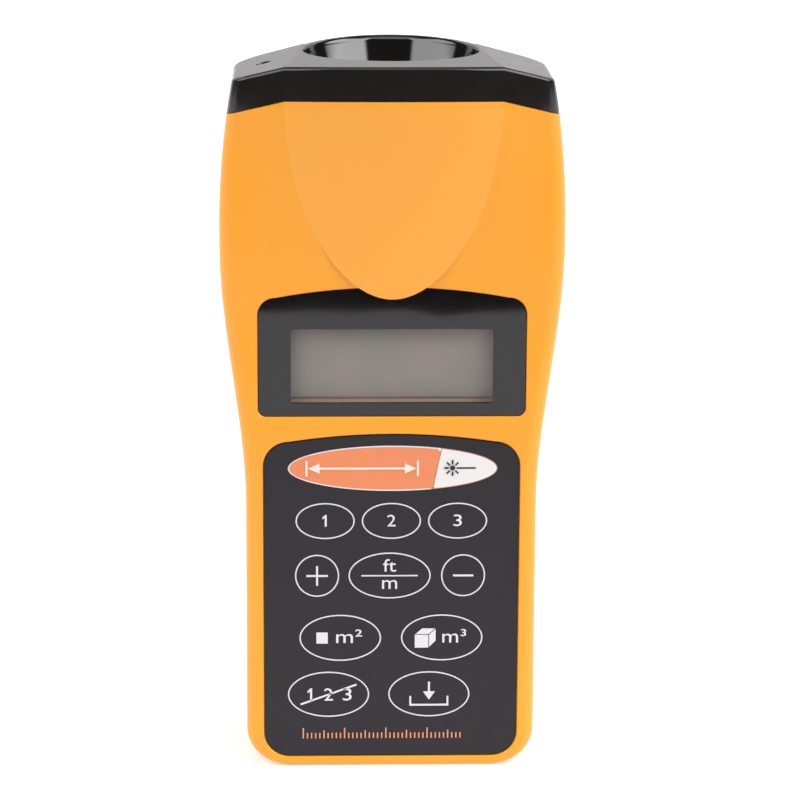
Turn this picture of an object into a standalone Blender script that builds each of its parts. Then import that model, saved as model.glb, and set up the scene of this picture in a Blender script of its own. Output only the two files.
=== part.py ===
"""Hand-held distance meter: an ultrasonic horn in the top end and a laser pointer beside it.

The meter stands on its flat bottom end. +Z runs up its length, the keypad faces -Y, and +X is to the
right when the keypad is looked at. The origin is the middle of the bottom end. Sizes are in
millimetres and become metres where a mesh is made.
"""
import math

import bmesh
import bpy
from mathutils import Vector

MM = 0.001

# Driving sizes of the casing
HEIGHT = 137.8
GRIP_HALF_WIDTH = 28.2
HEAD_SWELL = 4.65            # how much wider than the grip each side of the head is
HEAD_TAPER = 3.3             # how much each side of the head draws in again at the top
FRONT = -13.5                # keypad plane
HEAD_FRONT_STEP = 5.3        # how far the front of the head leans out past the keypad plane
WALL = 2.0
BOTTOM_CORNER = 7.0
BOTTOM_EDGE = 1.2
FRONT_CORNER = 3.2
REAR_CORNER = 6.0
PARTING = 0.0                # plane where the two housings meet

# Clearances
GAP = 0.3                    # between pieces that touch on the real object
HOLE_GAP = 0.3               # around screws, plungers and keys

# Horn and top cap
HORN_Y = 3.5
HORN_MOUTH = 16.9
HORN_THROAT = 6.4
HORN_DEPTH = 31.8
HORN_WALL = 1.2
HORN_RIM = 1.8               # mouth to the outside of the barrel behind it
BARREL_TAPER = 6.2
BARREL_LENGTH = 55.0
SHOULDER_X = 18.0            # the top face is level up to here, then falls to the sides
SHOULDER_SLANT = 0.113       # how fast that fold runs inwards from the front to the back
SHOULDER_SLOPE = 0.265
CAP_BAND = 6.25
CAP_TOP_WALL = 2.2

# Raised tongue on the front of the head
TONGUE_TIP = 93.0
TONGUE_HALF_WIDTH = 20.15
TONGUE_CROWN = 3.4
TONGUE_TIP_STEP = 0.9

# Display
WINDOW_HALF_WIDTH = GRIP_HALF_WIDTH - 2.95
WINDOW_LOW = 70.1
WINDOW_HIGH = 95.04
WINDOW_THICKNESS = 0.9
WINDOW_RECESS = 0.25
VIEW_HALF_WIDTH = 19.1
VIEW_LOW = 72.6
VIEW_HIGH = 86.95
LCD_GLASS_THICKNESS = 1.2
BACKLIGHT_THICKNESS = 0.8

# Keypad
FILM_HALF_WIDTH = GRIP_HALF_WIDTH - 3.9
FILM_LOW = 2.1
FILM_HIGH = 66.4
FILM_THICKNESS = 0.5
FILM_RECESS = 0.35
KEY_TRAVEL = 0.5
PLUNGER_RADIUS = 2.0
MAT_THICKNESS = 1.0

# name: (x, z, width, height) of each elliptical key
KEYS = {
    "key_memory_1": (-12.65, 49.4, 11.3, 7.15),
    "key_memory_2": (0.0, 49.4, 11.3, 7.15),
    "key_memory_3": (12.65, 49.4, 11.3, 7.15),
    "key_plus": (-14.2, 38.5, 8.45, 8.4),
    "key_units": (-0.3, 38.5, 15.75, 9.2),
    "key_minus": (13.8, 38.5, 8.45, 8.4),
    "key_area": (-9.75, 26.0, 15.7, 9.3),
    "key_volume": (9.8, 26.0, 15.7, 9.3),
    "key_clear": (-12.0, 14.55, 15.7, 9.2),
    "key_store": (7.4, 14.55, 15.7, 9.2),
}
OVAL_CENTRE = (0.2, 59.8)
OVAL_SIZE = (39.9, 8.9)
OVAL_SPLIT = ((9.55, 63.8), (7.95, 56.1))     # slanted line between the measure and laser keys
MEASURE_PLUNGER = (-6.5, 59.7)
LASER_PLUNGER = (14.1, 59.9)

# Electronics
BOARD_THICKNESS = 1.6
BOARD_LOW = 5.5
BOARD_HIGH = 94.0
BOARD_STEP = 62.0
BOARD_HALF_WIDTH_LOW = 17.3
BOARD_HALF_WIDTH_HIGH = GRIP_HALF_WIDTH - 4.2
CHIP_HEIGHT = 1.8

# Battery and its bay
BATTERY_WIDTH = 26.5
BATTERY_DEPTH = 17.5
BATTERY_LENGTH = 48.5
BAY_WALL = 1.0
BAY_LOW = 6.6
SNAP_DEPTH = 12.0
SNAP_THICKNESS = 3.7
DOOR_THICKNESS = 1.9
DOOR_MARGIN = 1.5            # how far the door reaches past the bay on each side

# Ultrasonic transducer
CAN_RADIUS = 8.1
CAN_LENGTH = 10.1
CAN_WALL = 0.6
RING_THICKNESS = 1.6
COLLAR_WALL = 1.3

# Laser pointer
LASER_X = -24.1
LASER_Y = -3.1
LASER_APERTURE = 1.35
LASER_RADIUS = 3.25
LASER_LENGTH = 21.0

# Screws
BOSS_RADIUS = 4.0
FRONT_BOSS_RADIUS = 3.0
SCREW_HEAD_RADIUS = 2.4
SCREW_HEAD_HEIGHT = 1.6
SCREW_SHANK_RADIUS = 1.2
SCREW_SEAT = 6.0             # height of the screw seat behind the parting plane
SCREW_REACH = 7.0            # how far a screw reaches in front of the parting plane
BOARD_SCREW_X = 19.5
BOARD_SCREW_Z = 66.0
BOARD_BOSS_RADIUS = 2.2

# Layers from the front to the back, each measured from the one before
FILM_FRONT = FRONT + FILM_RECESS
FILM_FLOOR = FILM_FRONT + FILM_THICKNESS + GAP
WINDOW_FRONT = FRONT + WINDOW_RECESS
WINDOW_FLOOR = WINDOW_FRONT + WINDOW_THICKNESS + GAP
INNER_FRONT = FRONT + WALL
MAT_FRONT = INNER_FRONT + 0.4
LCD_FRONT = INNER_FRONT + 0.4
LCD_BACK = LCD_FRONT + LCD_GLASS_THICKNESS
BACKLIGHT_FRONT = LCD_BACK + GAP
BACKLIGHT_BACK = BACKLIGHT_FRONT + BACKLIGHT_THICKNESS
BOARD_FRONT = BACKLIGHT_BACK + GAP
BOARD_BACK = BOARD_FRONT + BOARD_THICKNESS
PLUNGER_TIP = BOARD_FRONT - KEY_TRAVEL - 0.4
CHIP_BACK = BOARD_BACK + GAP + CHIP_HEIGHT
BAY_FRONT = CHIP_BACK + GAP
BATTERY_FRONT = BAY_FRONT + BAY_WALL + 0.4
BATTERY_BACK = BATTERY_FRONT + BATTERY_DEPTH
BATTERY_MIDDLE = (BATTERY_FRONT + BATTERY_BACK) / 2
DOOR_INNER = BATTERY_BACK + GAP
BACK = DOOR_INNER + DOOR_THICKNESS

# Places that follow from the sizes above
BATTERY_LOW = BAY_LOW + 0.6
BATTERY_HIGH = BATTERY_LOW + BATTERY_LENGTH
TERMINAL_LOW = BATTERY_HIGH + GAP
SNAP_LOW = TERMINAL_LOW + 1.2
SNAP_FRONT = BATTERY_MIDDLE - SNAP_DEPTH / 2
BAY_HALF_WIDTH = BATTERY_WIDTH / 2 + 0.75
BAY_HIGH = BATTERY_HIGH + 9.7
DOOR_HALF_WIDTH = BAY_HALF_WIDTH + DOOR_MARGIN
DOOR_LOW = BAY_LOW - 0.6
DOOR_HIGH = BAY_HIGH + 0.6
DOOR_PIVOT_Y = DOOR_INNER + DOOR_THICKNESS / 2
DOOR_PIVOT_Z = DOOR_LOW + DOOR_THICKNESS / 2
THROAT_Z = HEIGHT - HORN_DEPTH
CAN_TOP = THROAT_Z - 1.6
CAN_LOW = CAN_TOP - CAN_LENGTH
RING_INNER = CAN_RADIUS + GAP
RING_OUTER = RING_INNER + RING_THICKNESS
COLLAR_INNER = RING_OUTER + GAP
COLLAR_OUTER = COLLAR_INNER + COLLAR_WALL
COLLAR_LOW = CAN_LOW + 0.7
SCREW_PLACES = (
    (GRIP_HALF_WIDTH - 7.4, 10.0),
    (7.4 - GRIP_HALF_WIDTH, 10.0),
    (GRIP_HALF_WIDTH - 4.7, HEIGHT - 37.8),
    (4.7 - GRIP_HALF_WIDTH, HEIGHT - 37.8),
)
HEAD_SWELL_LOW = 52.0
HEAD_SWELL_HIGH = 102.0
HEAD_TAPER_LOW = HEIGHT - 31.8
HEAD_LEAN_LOW = 86.0
HEAD_LEAN_HIGH = HEIGHT - CAP_BAND + 0.45
OUTSIDE = 60.0               # a distance that is clear of the whole object


# ---------------------------------------------------------------- materials
def make_material(name, colour, roughness, metallic=0.0):
    material = bpy.data.materials.new(name)
    material.use_nodes = True
    shader = material.node_tree.nodes["Principled BSDF"]
    shader.inputs["Base Color"].default_value = (*colour, 1.0)
    shader.inputs["Roughness"].default_value = roughness
    shader.inputs["Metallic"].default_value = metallic
    return material


# ---------------------------------------------------------------- objects
def make_mesh(name, bm, origin):
    """Mesh in metres around an origin, from a bmesh in millimetres; the bmesh is used up."""
    bmesh.ops.translate(bm, verts=bm.verts, vec=-Vector(origin))
    bmesh.ops.scale(bm, verts=bm.verts, vec=(MM, MM, MM))
    bmesh.ops.recalc_face_normals(bm, faces=bm.faces)
    mesh = bpy.data.meshes.new(name)
    bm.to_mesh(mesh)
    bm.free()
    mesh.shade_smooth()
    mesh.set_sharp_from_angle(angle=math.radians(35.0))
    return mesh


def add_part(name, bm, material, origin=(0.0, 0.0, 0.0)):
    """A visible sub-part whose object sits at its origin."""
    part = bpy.data.objects.new(name, make_mesh(name, bm, origin))
    part.location = Vector(origin) * MM
    part.data.materials.append(material)
    bpy.context.scene.collection.objects.link(part)
    return part


def add_tool(name, bm):
    """A shape that only cuts, joins or trims other objects."""
    tool = bpy.data.objects.new(name, make_mesh(name, bm, (0.0, 0.0, 0.0)))
    tool.hide_render = True
    tool.display_type = "WIRE"
    bpy.context.scene.collection.objects.link(tool)
    return tool


def combine(part, tool, operation):
    modifier = part.modifiers.new(f"{operation} {tool.name}", "BOOLEAN")
    modifier.solver = "EXACT"
    modifier.operation = operation
    modifier.object = tool


# ---------------------------------------------------------------- shapes
def add_loft(bm, rings):
    """Adds a closed solid through rings that hold the same number of points."""
    loops = [[bm.verts.new(point) for point in ring] for ring in rings]
    count = len(loops[0])
    for lower, upper in zip(loops, loops[1:]):
        for i in range(count):
            j = (i + 1) % count
            bm.faces.new((lower[i], lower[j], upper[j], upper[i]))
    bm.faces.new(loops[0])
    bm.faces.new(loops[-1])


def loft(rings):
    bm = bmesh.new()
    add_loft(bm, rings)
    return bm


def prisms_y(outlines, y_low, y_high):
    """One closed solid for each outline of (x, z) points, drawn out along Y."""
    bm = bmesh.new()
    for outline in outlines:
        add_loft(bm, [[(x, y, z) for x, z in outline] for y in (y_low, y_high)])
    return bm


def prism_x(outline, x_low, x_high):
    return loft([[(x, y, z) for y, z in outline] for x in (x_low, x_high)])


def box(low, high):
    corners = ((low[0], low[2]), (high[0], low[2]), (high[0], high[2]), (low[0], high[2]))
    return prisms_y([corners], low[1], high[1])


def rounded_box(low, high, radius):
    bm = box(low, high)
    bmesh.ops.bevel(bm, geom=bm.edges, offset=radius, segments=2, profile=0.5, affect="EDGES")
    return bm


def circle_points(centre, radius, segments):
    angles = [2 * math.pi * i / segments for i in range(segments)]
    return [(centre[0] + radius * math.cos(a), centre[1] + radius * math.sin(a)) for a in angles]


def turned_z(profile, centre, segments):
    """Solid turned about a vertical axis, from (radius, z) points between its two end faces."""
    rings = []
    for radius, z in profile:
        rings.append([(x, y, z) for x, y in circle_points(centre, radius, segments)])
    return loft(rings)


def turned_y(profile, centre, segments):
    """Solid turned about an axis along Y, from (radius, y) points between its two end faces."""
    rings = []
    for radius, y in profile:
        rings.append([(x, y, z) for x, z in circle_points(centre, radius, segments)])
    return loft(rings)


def turned_ring(profile, centre, segments):
    """Ring turned about a vertical axis, from a closed loop of (radius, z) points."""
    bm = bmesh.new()
    loops = []
    for radius, z in profile:
        loops.append([bm.verts.new((x, y, z)) for x, y in circle_points(centre, radius, segments)])
    for lower, upper in zip(loops, loops[1:] + loops[:1]):
        for i in range(segments):
            j = (i + 1) % segments
            bm.faces.new((lower[i], lower[j], upper[j], upper[i]))
    return bm


def panel_outline(half_width, low, high, low_radius, high_radius, crown, steps=5):
    """Panel with rounded corners; its top edge is an arc that falls by crown to the sides."""
    top_corner = high - crown * ((half_width - high_radius) / half_width) ** 2
    right = [(half_width - low_radius, low)]
    for i in range(1, steps + 1):
        angle = math.radians(-90.0 + 90.0 * i / steps)
        right.append((half_width - low_radius + low_radius * math.cos(angle),
                      low + low_radius + low_radius * math.sin(angle)))
    for i in range(steps + 1):
        angle = math.radians(90.0 * i / steps)
        right.append((half_width - high_radius + high_radius * math.cos(angle),
                      top_corner - high_radius + high_radius * math.sin(angle)))
    for i in range(1, steps):
        x = (half_width - high_radius) * (1.0 - i / steps)
        right.append((x, high - crown * (x / half_width) ** 2))
    left = [(-x, z) for x, z in reversed(right)]
    return right + [(0.0, high)] + left


def ellipse_outline(centre, width, height, segments):
    outline = []
    for i in range(segments):
        angle = 2 * math.pi * i / segments
        outline.append((centre[0] + width / 2 * math.cos(angle), centre[1] + height / 2 * math.sin(angle)))
    return outline


# ---------------------------------------------------------------- casing form
def smooth_step(value):
    value = min(1.0, max(0.0, value))
    return value * value * (3.0 - 2.0 * value)


def half_width(z):
    """Half the casing's width at a height, with the rounded lower corners."""
    swell = HEAD_SWELL * smooth_step((z - HEAD_SWELL_LOW) / (HEAD_SWELL_HIGH - HEAD_SWELL_LOW))
    taper = HEAD_TAPER * max(0.0, (z - HEAD_TAPER_LOW) / (HEIGHT - HEAD_TAPER_LOW)) ** 2
    corner = 0.0
    if z < BOTTOM_CORNER:
        corner = BOTTOM_CORNER - math.sqrt(BOTTOM_CORNER ** 2 - (BOTTOM_CORNER - z) ** 2)
    return GRIP_HALF_WIDTH + swell - taper - corner


def bottom_edge(z):
    """How far the front and back draw in at the rounded bottom edge."""
    if z >= BOTTOM_EDGE:
        return 0.0
    return BOTTOM_EDGE - math.sqrt(BOTTOM_EDGE ** 2 - (BOTTOM_EDGE - z) ** 2)


def front_plane(z):
    """Y of the front face at a height: level along the grip, leaning out up the head."""
    lean = min(1.0, max(0.0, (z - HEAD_LEAN_LOW) / (HEAD_LEAN_HIGH - HEAD_LEAN_LOW)))
    return FRONT - HEAD_FRONT_STEP * lean ** 1.35


def wing_setback(x, z):
    """The front of the head falls back beside the tongue."""
    beside = max(0.0, abs(x) - TONGUE_HALF_WIDTH) / 9.5
    return 2.0 * beside * smooth_step((z - HEAD_LEAN_LOW - 11.0) / 34.0)


def back_plane(z):
    rise = max(0.0, (z - TONGUE_TIP - 2.0) / (HEIGHT - TONGUE_TIP - 2.0))
    return BACK - 4.2 * rise ** 2


def barrel_radius(z):
    """Outside of the horn's barrel, which shows as a half cone on the back of the head."""
    depth = max(0.0, HEIGHT - z)
    return HORN_MOUTH + HORN_RIM - BARREL_TAPER * (depth / BARREL_LENGTH) ** 1.4


def back_face(x, z, inset):
    """Y of the back at a place, where the flat back or the barrel stands out further."""
    flat = back_plane(z) - inset
    radius = barrel_radius(z) - inset
    if abs(x) < radius:
        return max(flat, HORN_Y + math.sqrt(radius ** 2 - x ** 2))
    return flat


def casing_ring(z, inset):
    """Points around the casing at a height, all drawn in by the inset."""
    half = half_width(z) - inset
    edge = bottom_edge(z)
    front_radius = max(0.8, FRONT_CORNER - inset)
    rear_radius = max(0.8, REAR_CORNER - inset)
    front_x = half - front_radius
    rear_x = half - rear_radius
    right = []
    for x in (0.5 * TONGUE_HALF_WIDTH, min(TONGUE_HALF_WIDTH, front_x - 1.0)):
        right.append((x, front_plane(z) + inset + edge))
    corner_y = front_plane(z) + wing_setback(front_x, z) + inset + edge + front_radius
    for i in range(5):
        angle = math.radians(-90.0 + 90.0 * i / 4)
        right.append((front_x + front_radius * math.cos(angle), corner_y + front_radius * math.sin(angle)))
    rear_y = back_plane(z) - inset - edge - rear_radius
    for i in range(5):
        angle = math.radians(90.0 * i / 4)
        right.append((rear_x + rear_radius * math.cos(angle), rear_y + rear_radius * math.sin(angle)))
    for share in (0.86, 0.72, 0.58, 0.44, 0.3, 0.15):
        x = share * rear_x
        right.append((x, back_face(x, z, inset) - edge))
    front_middle = [(0.0, front_plane(z) + inset + edge)]
    back_middle = [(0.0, back_face(0.0, z, inset) - edge)]
    left = [(-x, y) for x, y in reversed(right)]
    return [(x, y, z) for x, y in front_middle + right + back_middle + left]


def casing_heights(low, high):
    """Heights of the rings: close together at the bottom edge and up the head."""
    bottom = [low + offset for offset in (0.0, 0.3, 1.2, 3.0, 6.0)]
    grip = [30.0, HEAD_SWELL_LOW]
    head = []
    steps = 11
    for i in range(1, steps + 1):
        head.append(HEAD_SWELL_LOW + (high - HEAD_SWELL_LOW) * i / steps)
    return bottom + grip + head


def tongue_half_width(z):
    """Half width of the tongue's outline: a round tip that opens into near-straight sides."""
    rise = min(1.0, max(0.0, (z - TONGUE_TIP) / (HEIGHT - CAP_BAND - TONGUE_TIP)))
    return TONGUE_HALF_WIDTH * (1.0 - (1.0 - rise) ** 2) ** 0.53


def tongue_step(z):
    """How far the tongue's middle stands out in front of the head at a height."""
    rise = min(1.0, max(0.0, (z - TONGUE_TIP) / (HEIGHT - CAP_BAND - TONGUE_TIP)))
    return TONGUE_TIP_STEP + (TONGUE_CROWN - TONGUE_TIP_STEP) * rise


def tongue_form(growth):
    """The tongue as a solid that reaches into the wall; growth widens its outline."""
    rings = []
    tip = TONGUE_TIP - growth
    heights = [tip + rise for rise in (0.04, 0.35, 1.0, 2.2, 4.5, 8.0, 13.0, 19.0, 26.0)]
    heights += [HEIGHT - CAP_BAND, HEIGHT + 2.0]
    for z in heights:
        half = tongue_half_width(z + growth) + growth
        middle = tongue_step(z)
        edge = max(0.0, middle - half ** 2 / (2.0 * 60.0))
        ring = [(half, FRONT + WALL), (-half, FRONT + WALL)]
        for i in range(9):
            x = -half + 2.0 * half * i / 8
            bulge = edge + (middle - edge) * (1.0 - (x / half) ** 2)
            ring.append((x, front_plane(z) - bulge))
        rings.append([(x, y, z) for x, y in ring])
    return loft(rings)


def fold_x(y):
    """Half width of the level middle of the cap's top face."""
    return SHOULDER_X - SHOULDER_SLANT * y


def top_face(x, y):
    """Height of the cap's top face."""
    return HEIGHT - SHOULDER_SLOPE * max(0.0, abs(x) - fold_x(y))


def slice_block(drop, low, y_low, y_high):
    """Block under the cap's top face, lowered by drop, down to a flat or a parallel underside."""
    rings = []
    for y in (y_low, y_high):
        shoulder = (OUTSIDE, fold_x(y), -fold_x(y), -OUTSIDE)
        upper = [(x, y, top_face(x, y) - drop) for x in shoulder]
        if low is None:
            lower = [(x, y, top_face(x, y) - CAP_BAND) for x in reversed(shoulder)]
        else:
            lower = [(-OUTSIDE, y, low), (OUTSIDE, y, low)]
        rings.append(upper + lower)
    return loft(rings)


def casing_tools():
    """Shapes that the three casing pieces share."""
    heights = casing_heights(WALL, HEIGHT + 1.0)
    cavity = add_tool("cavity_form", loft([casing_ring(z, WALL) for z in heights]))
    ceiling = add_tool("cavity_ceiling", slice_block(CAP_TOP_WALL, -OUTSIDE, -OUTSIDE, OUTSIDE))
    combine(cavity, ceiling, "INTERSECT")
    tongue = add_tool("tongue_form", tongue_form(0.0))
    return cavity, tongue


def casing_form():
    return loft([casing_ring(z, 0.0) for z in casing_heights(0.0, HEIGHT + 1.0)])


# ---------------------------------------------------------------- keypad
def beside_split(outline, side, gap):
    """Part of an outline on one side of the slanted line between the two oval keys."""
    high, low = OVAL_SPLIT
    along = Vector((high[0] - low[0], high[1] - low[1])).normalized()
    across = Vector((along.y, -along.x)) * side
    start = Vector(low) + across * gap

    def distance(point):
        return (Vector(point) - start).dot(across)

    kept = []
    for point, following in zip(outline, outline[1:] + outline[:1]):
        here = distance(point)
        there = distance(following)
        if here >= 0.0:
            kept.append(point)
        if here * there < 0.0:
            share = here / (here - there)
            crossing = Vector(point).lerp(Vector(following), share)
            kept.append((crossing.x, crossing.y))
    return kept


def key_shapes():
    """Outline and plunger place of every key."""
    shapes = {}
    oval = ellipse_outline(OVAL_CENTRE, OVAL_SIZE[0], OVAL_SIZE[1], 32)
    shapes["key_measure"] = (beside_split(oval, -1.0, GAP / 2), MEASURE_PLUNGER)
    shapes["key_laser"] = (beside_split(oval, 1.0, GAP / 2), LASER_PLUNGER)
    for name, (x, z, width, height) in KEYS.items():
        shapes[name] = (ellipse_outline((x, z), width, height, 20), (x, z))
    return shapes


def key_openings():
    """Outlines of the openings that the keys sit in; the two oval keys share one."""
    grown = 2.0 * HOLE_GAP
    openings = [ellipse_outline(OVAL_CENTRE, OVAL_SIZE[0] + grown, OVAL_SIZE[1] + grown, 32)]
    for x, z, width, height in KEYS.values():
        openings.append(ellipse_outline((x, z), width + grown, height + grown, 20))
    return openings


def make_key(name, outline, plunger, material):
    """A key's pad with its round plunger behind it, as one moulded piece."""
    stem = []
    for point in outline:
        direction = (Vector(point) - Vector(plunger)).normalized() * PLUNGER_RADIUS
        stem.append((plunger[0] + direction.x, plunger[1] + direction.y))
    back = FILM_FRONT + FILM_THICKNESS
    rings = []
    for points, y in ((outline, FILM_FRONT), (outline, back), (stem, back), (stem, PLUNGER_TIP)):
        rings.append([(x, y, z) for x, z in points])
    add_part(name, loft(rings), material, (plunger[0], FILM_FRONT, plunger[1]))


def make_keypad(materials, openings):
    outline = panel_outline(FILM_HALF_WIDTH, FILM_LOW, FILM_HIGH, 4.8, 4.7, 2.4)
    film = add_part("keypad_film", prisms_y([outline], FILM_FRONT, FILM_FRONT + FILM_THICKNESS),
                    materials["film"])
    combine(film, openings, "DIFFERENCE")
    shapes = key_shapes()
    for name, (key_outline, plunger) in shapes.items():
        finish = {"key_measure": "measure_key", "key_laser": "laser_key"}.get(name, "film")
        make_key(name, key_outline, plunger, materials[finish])
    mat_outline = panel_outline(BOARD_HALF_WIDTH_LOW - 0.5, 8.0, 65.0, 2.0, 2.0, 0.1, 2)
    mat = add_part("key_mat", prisms_y([mat_outline], MAT_FRONT, MAT_FRONT + MAT_THICKNESS),
                   materials["rubber"])
    holes = []
    for _, plunger in shapes.values():
        holes.append(circle_points(plunger, PLUNGER_RADIUS + 2.0 * HOLE_GAP, 12))
    combine(mat, add_tool("mat_holes", prisms_y(holes, MAT_FRONT - 1.0, MAT_FRONT + 3.0)), "DIFFERENCE")


# ---------------------------------------------------------------- casing pieces
def make_front_housing(materials, cavity, tongue, openings):
    housing = add_part("front_housing", casing_form(), materials["casing"])
    film_recess = panel_outline(FILM_HALF_WIDTH + GAP, FILM_LOW - GAP, FILM_HIGH + GAP, 5.1, 5.0, 2.4)
    combine(housing, add_tool("film_recess", prisms_y([film_recess], -OUTSIDE, FILM_FLOOR)), "DIFFERENCE")
    window_recess = window_outline(GAP)
    combine(housing, add_tool("window_recess", prisms_y([window_recess], -OUTSIDE, WINDOW_FLOOR)),
            "DIFFERENCE")
    combine(housing, tongue, "UNION")
    front_block = add_tool("front_block", slice_block(CAP_BAND + GAP, -5.0, -OUTSIDE, PARTING - GAP / 2))
    combine(housing, front_block, "INTERSECT")
    combine(housing, cavity, "DIFFERENCE")
    for number, (x, z) in enumerate(SCREW_PLACES, 1):
        start = max(front_plane(z) + 0.9, FILM_FLOOR + 0.4) if z < FILM_HIGH else front_plane(z) + 1.2
        boss = turned_y([(FRONT_BOSS_RADIUS, start), (FRONT_BOSS_RADIUS, PARTING - GAP / 2)], (x, z), 16)
        combine(housing, add_tool(f"front_boss_{number}", boss), "UNION")
        hole = SCREW_SHANK_RADIUS + HOLE_GAP
        pilot = turned_y([(hole, PARTING - SCREW_REACH - 1.0), (hole, PARTING + 1.0)], (x, z), 12)
        combine(housing, add_tool(f"front_pilot_{number}", pilot), "DIFFERENCE")
    for side in (-1, 1):
        place = (side * BOARD_SCREW_X, BOARD_SCREW_Z)
        boss = turned_y([(BOARD_BOSS_RADIUS, FILM_FLOOR + 0.4), (BOARD_BOSS_RADIUS, BOARD_FRONT - GAP)],
                        place, 16)
        combine(housing, add_tool(f"board_boss_{side}", boss), "UNION")
        pilot = turned_y([(1.2, BOARD_FRONT - 2.6), (1.2, BOARD_FRONT + 1.0)], place, 12)
        combine(housing, add_tool(f"board_pilot_{side}", pilot), "DIFFERENCE")
    combine(housing, openings, "DIFFERENCE")
    view = box((-VIEW_HALF_WIDTH - 0.9, FRONT - 5.0, VIEW_LOW - 0.8),
               (VIEW_HALF_WIDTH + 0.9, INNER_FRONT + 1.0, VIEW_HIGH + 0.8))
    combine(housing, add_tool("view_opening", view), "DIFFERENCE")


def make_rear_housing(materials, cavity):
    housing = add_part("rear_housing", casing_form(), materials["casing"])
    rear_block = add_tool("rear_block", slice_block(CAP_BAND + GAP, -5.0, PARTING + GAP / 2, OUTSIDE))
    combine(housing, rear_block, "INTERSECT")
    combine(housing, cavity, "DIFFERENCE")
    for number, (x, z) in enumerate(SCREW_PLACES, 1):
        boss = turned_y([(BOSS_RADIUS, PARTING + GAP / 2), (BOSS_RADIUS, back_plane(z) - 1.0)], (x, z), 16)
        combine(housing, add_tool(f"rear_boss_{number}", boss), "UNION")
    bay = box((-BAY_HALF_WIDTH - BAY_WALL, BAY_FRONT, BAY_LOW - BAY_WALL),
              (BAY_HALF_WIDTH + BAY_WALL, BACK - 1.0, BAY_HIGH + BAY_WALL))
    combine(housing, add_tool("bay_walls", bay), "UNION")
    room = box((-BAY_HALF_WIDTH, BAY_FRONT + BAY_WALL, BAY_LOW), (BAY_HALF_WIDTH, OUTSIDE, BAY_HIGH))
    combine(housing, add_tool("bay_room", room), "DIFFERENCE")
    doorway = box((-DOOR_HALF_WIDTH - GAP, DOOR_INNER - GAP, DOOR_LOW - GAP),
                  (DOOR_HALF_WIDTH + GAP, OUTSIDE, DOOR_HIGH + GAP))
    combine(housing, add_tool("doorway", doorway), "DIFFERENCE")
    lead_slot = box((-4.5, BAY_FRONT - 1.0, BATTERY_HIGH + 3.0), (4.5, BAY_FRONT + 2.0, BATTERY_HIGH + 7.0))
    combine(housing, add_tool("lead_slot", lead_slot), "DIFFERENCE")
    for number, (x, z) in enumerate(SCREW_PLACES, 1):
        shank = SCREW_SHANK_RADIUS + HOLE_GAP
        head = SCREW_HEAD_RADIUS + HOLE_GAP
        profile = [(shank, PARTING - 1.0), (shank, PARTING + SCREW_SEAT), (head, PARTING + SCREW_SEAT),
                   (head, OUTSIDE)]
        combine(housing, add_tool(f"rear_screw_hole_{number}", turned_y(profile, (x, z), 16)), "DIFFERENCE")


def horn_profile(growth, top, bottom):
    """The horn's cone between two heights, with its radius grown by the wall."""
    slope = (HORN_MOUTH - HORN_THROAT) / HORN_DEPTH
    points = []
    steps = 4
    for i in range(steps + 1):
        z = top + (bottom - top) * i / steps
        points.append((HORN_MOUTH - slope * (HEIGHT - z) + growth, z))
    return points


def make_top_cap(materials, cavity, tongue):
    """The cap and the horn are one moulding, with a collar for the transducer under the throat."""
    cap = add_part("top_cap", casing_form(), materials["cap"])
    combine(cap, tongue, "UNION")
    combine(cap, add_tool("cap_block", slice_block(0.0, None, -OUTSIDE, OUTSIDE)), "INTERSECT")
    combine(cap, cavity, "DIFFERENCE")
    centre = (0.0, HORN_Y)
    outer = horn_profile(HORN_WALL, HEIGHT - 1.0, THROAT_Z + 3.2)
    outer += [(COLLAR_OUTER, THROAT_Z + 1.2), (COLLAR_OUTER, COLLAR_LOW)]
    combine(cap, add_tool("horn_outside", turned_z(outer, centre, 40)), "UNION")
    inner = horn_profile(0.0, HEIGHT + 1.0, THROAT_Z)
    inner += [(HORN_THROAT, CAN_TOP + 1.1), (COLLAR_INNER, CAN_TOP + 1.1), (COLLAR_INNER, COLLAR_LOW - 1.0)]
    combine(cap, add_tool("horn_inside", turned_z(inner, centre, 40)), "DIFFERENCE")
    aperture = turned_z([(LASER_APERTURE, HEIGHT - 10.0), (LASER_APERTURE, HEIGHT + 2.0)],
                        (LASER_X, LASER_Y), 16)
    combine(cap, add_tool("laser_aperture", aperture), "DIFFERENCE")


def make_battery_door(materials):
    """Door with a round lower edge on its hinge line and finger ribs near its upper edge."""
    radius = DOOR_THICKNESS / 2
    profile = [(DOOR_INNER, DOOR_PIVOT_Z)]
    for i in range(1, 8):
        angle = math.radians(180.0 + 180.0 * i / 8)
        profile.append((DOOR_PIVOT_Y + radius * math.cos(angle), DOOR_PIVOT_Z + radius * math.sin(angle)))
    profile.append((BACK, DOOR_PIVOT_Z))
    for i in range(5):
        rib = DOOR_HIGH - 15.0 + 2.4 * i
        profile += [(BACK, rib), (BACK + 0.5, rib + 0.3), (BACK + 0.5, rib + 0.9), (BACK, rib + 1.2)]
    profile += [(BACK, DOOR_HIGH), (DOOR_INNER, DOOR_HIGH)]
    add_part("battery_door", prism_x(profile, -DOOR_HALF_WIDTH, DOOR_HALF_WIDTH), materials["casing"],
             (0.0, DOOR_PIVOT_Y, DOOR_PIVOT_Z))


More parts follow.
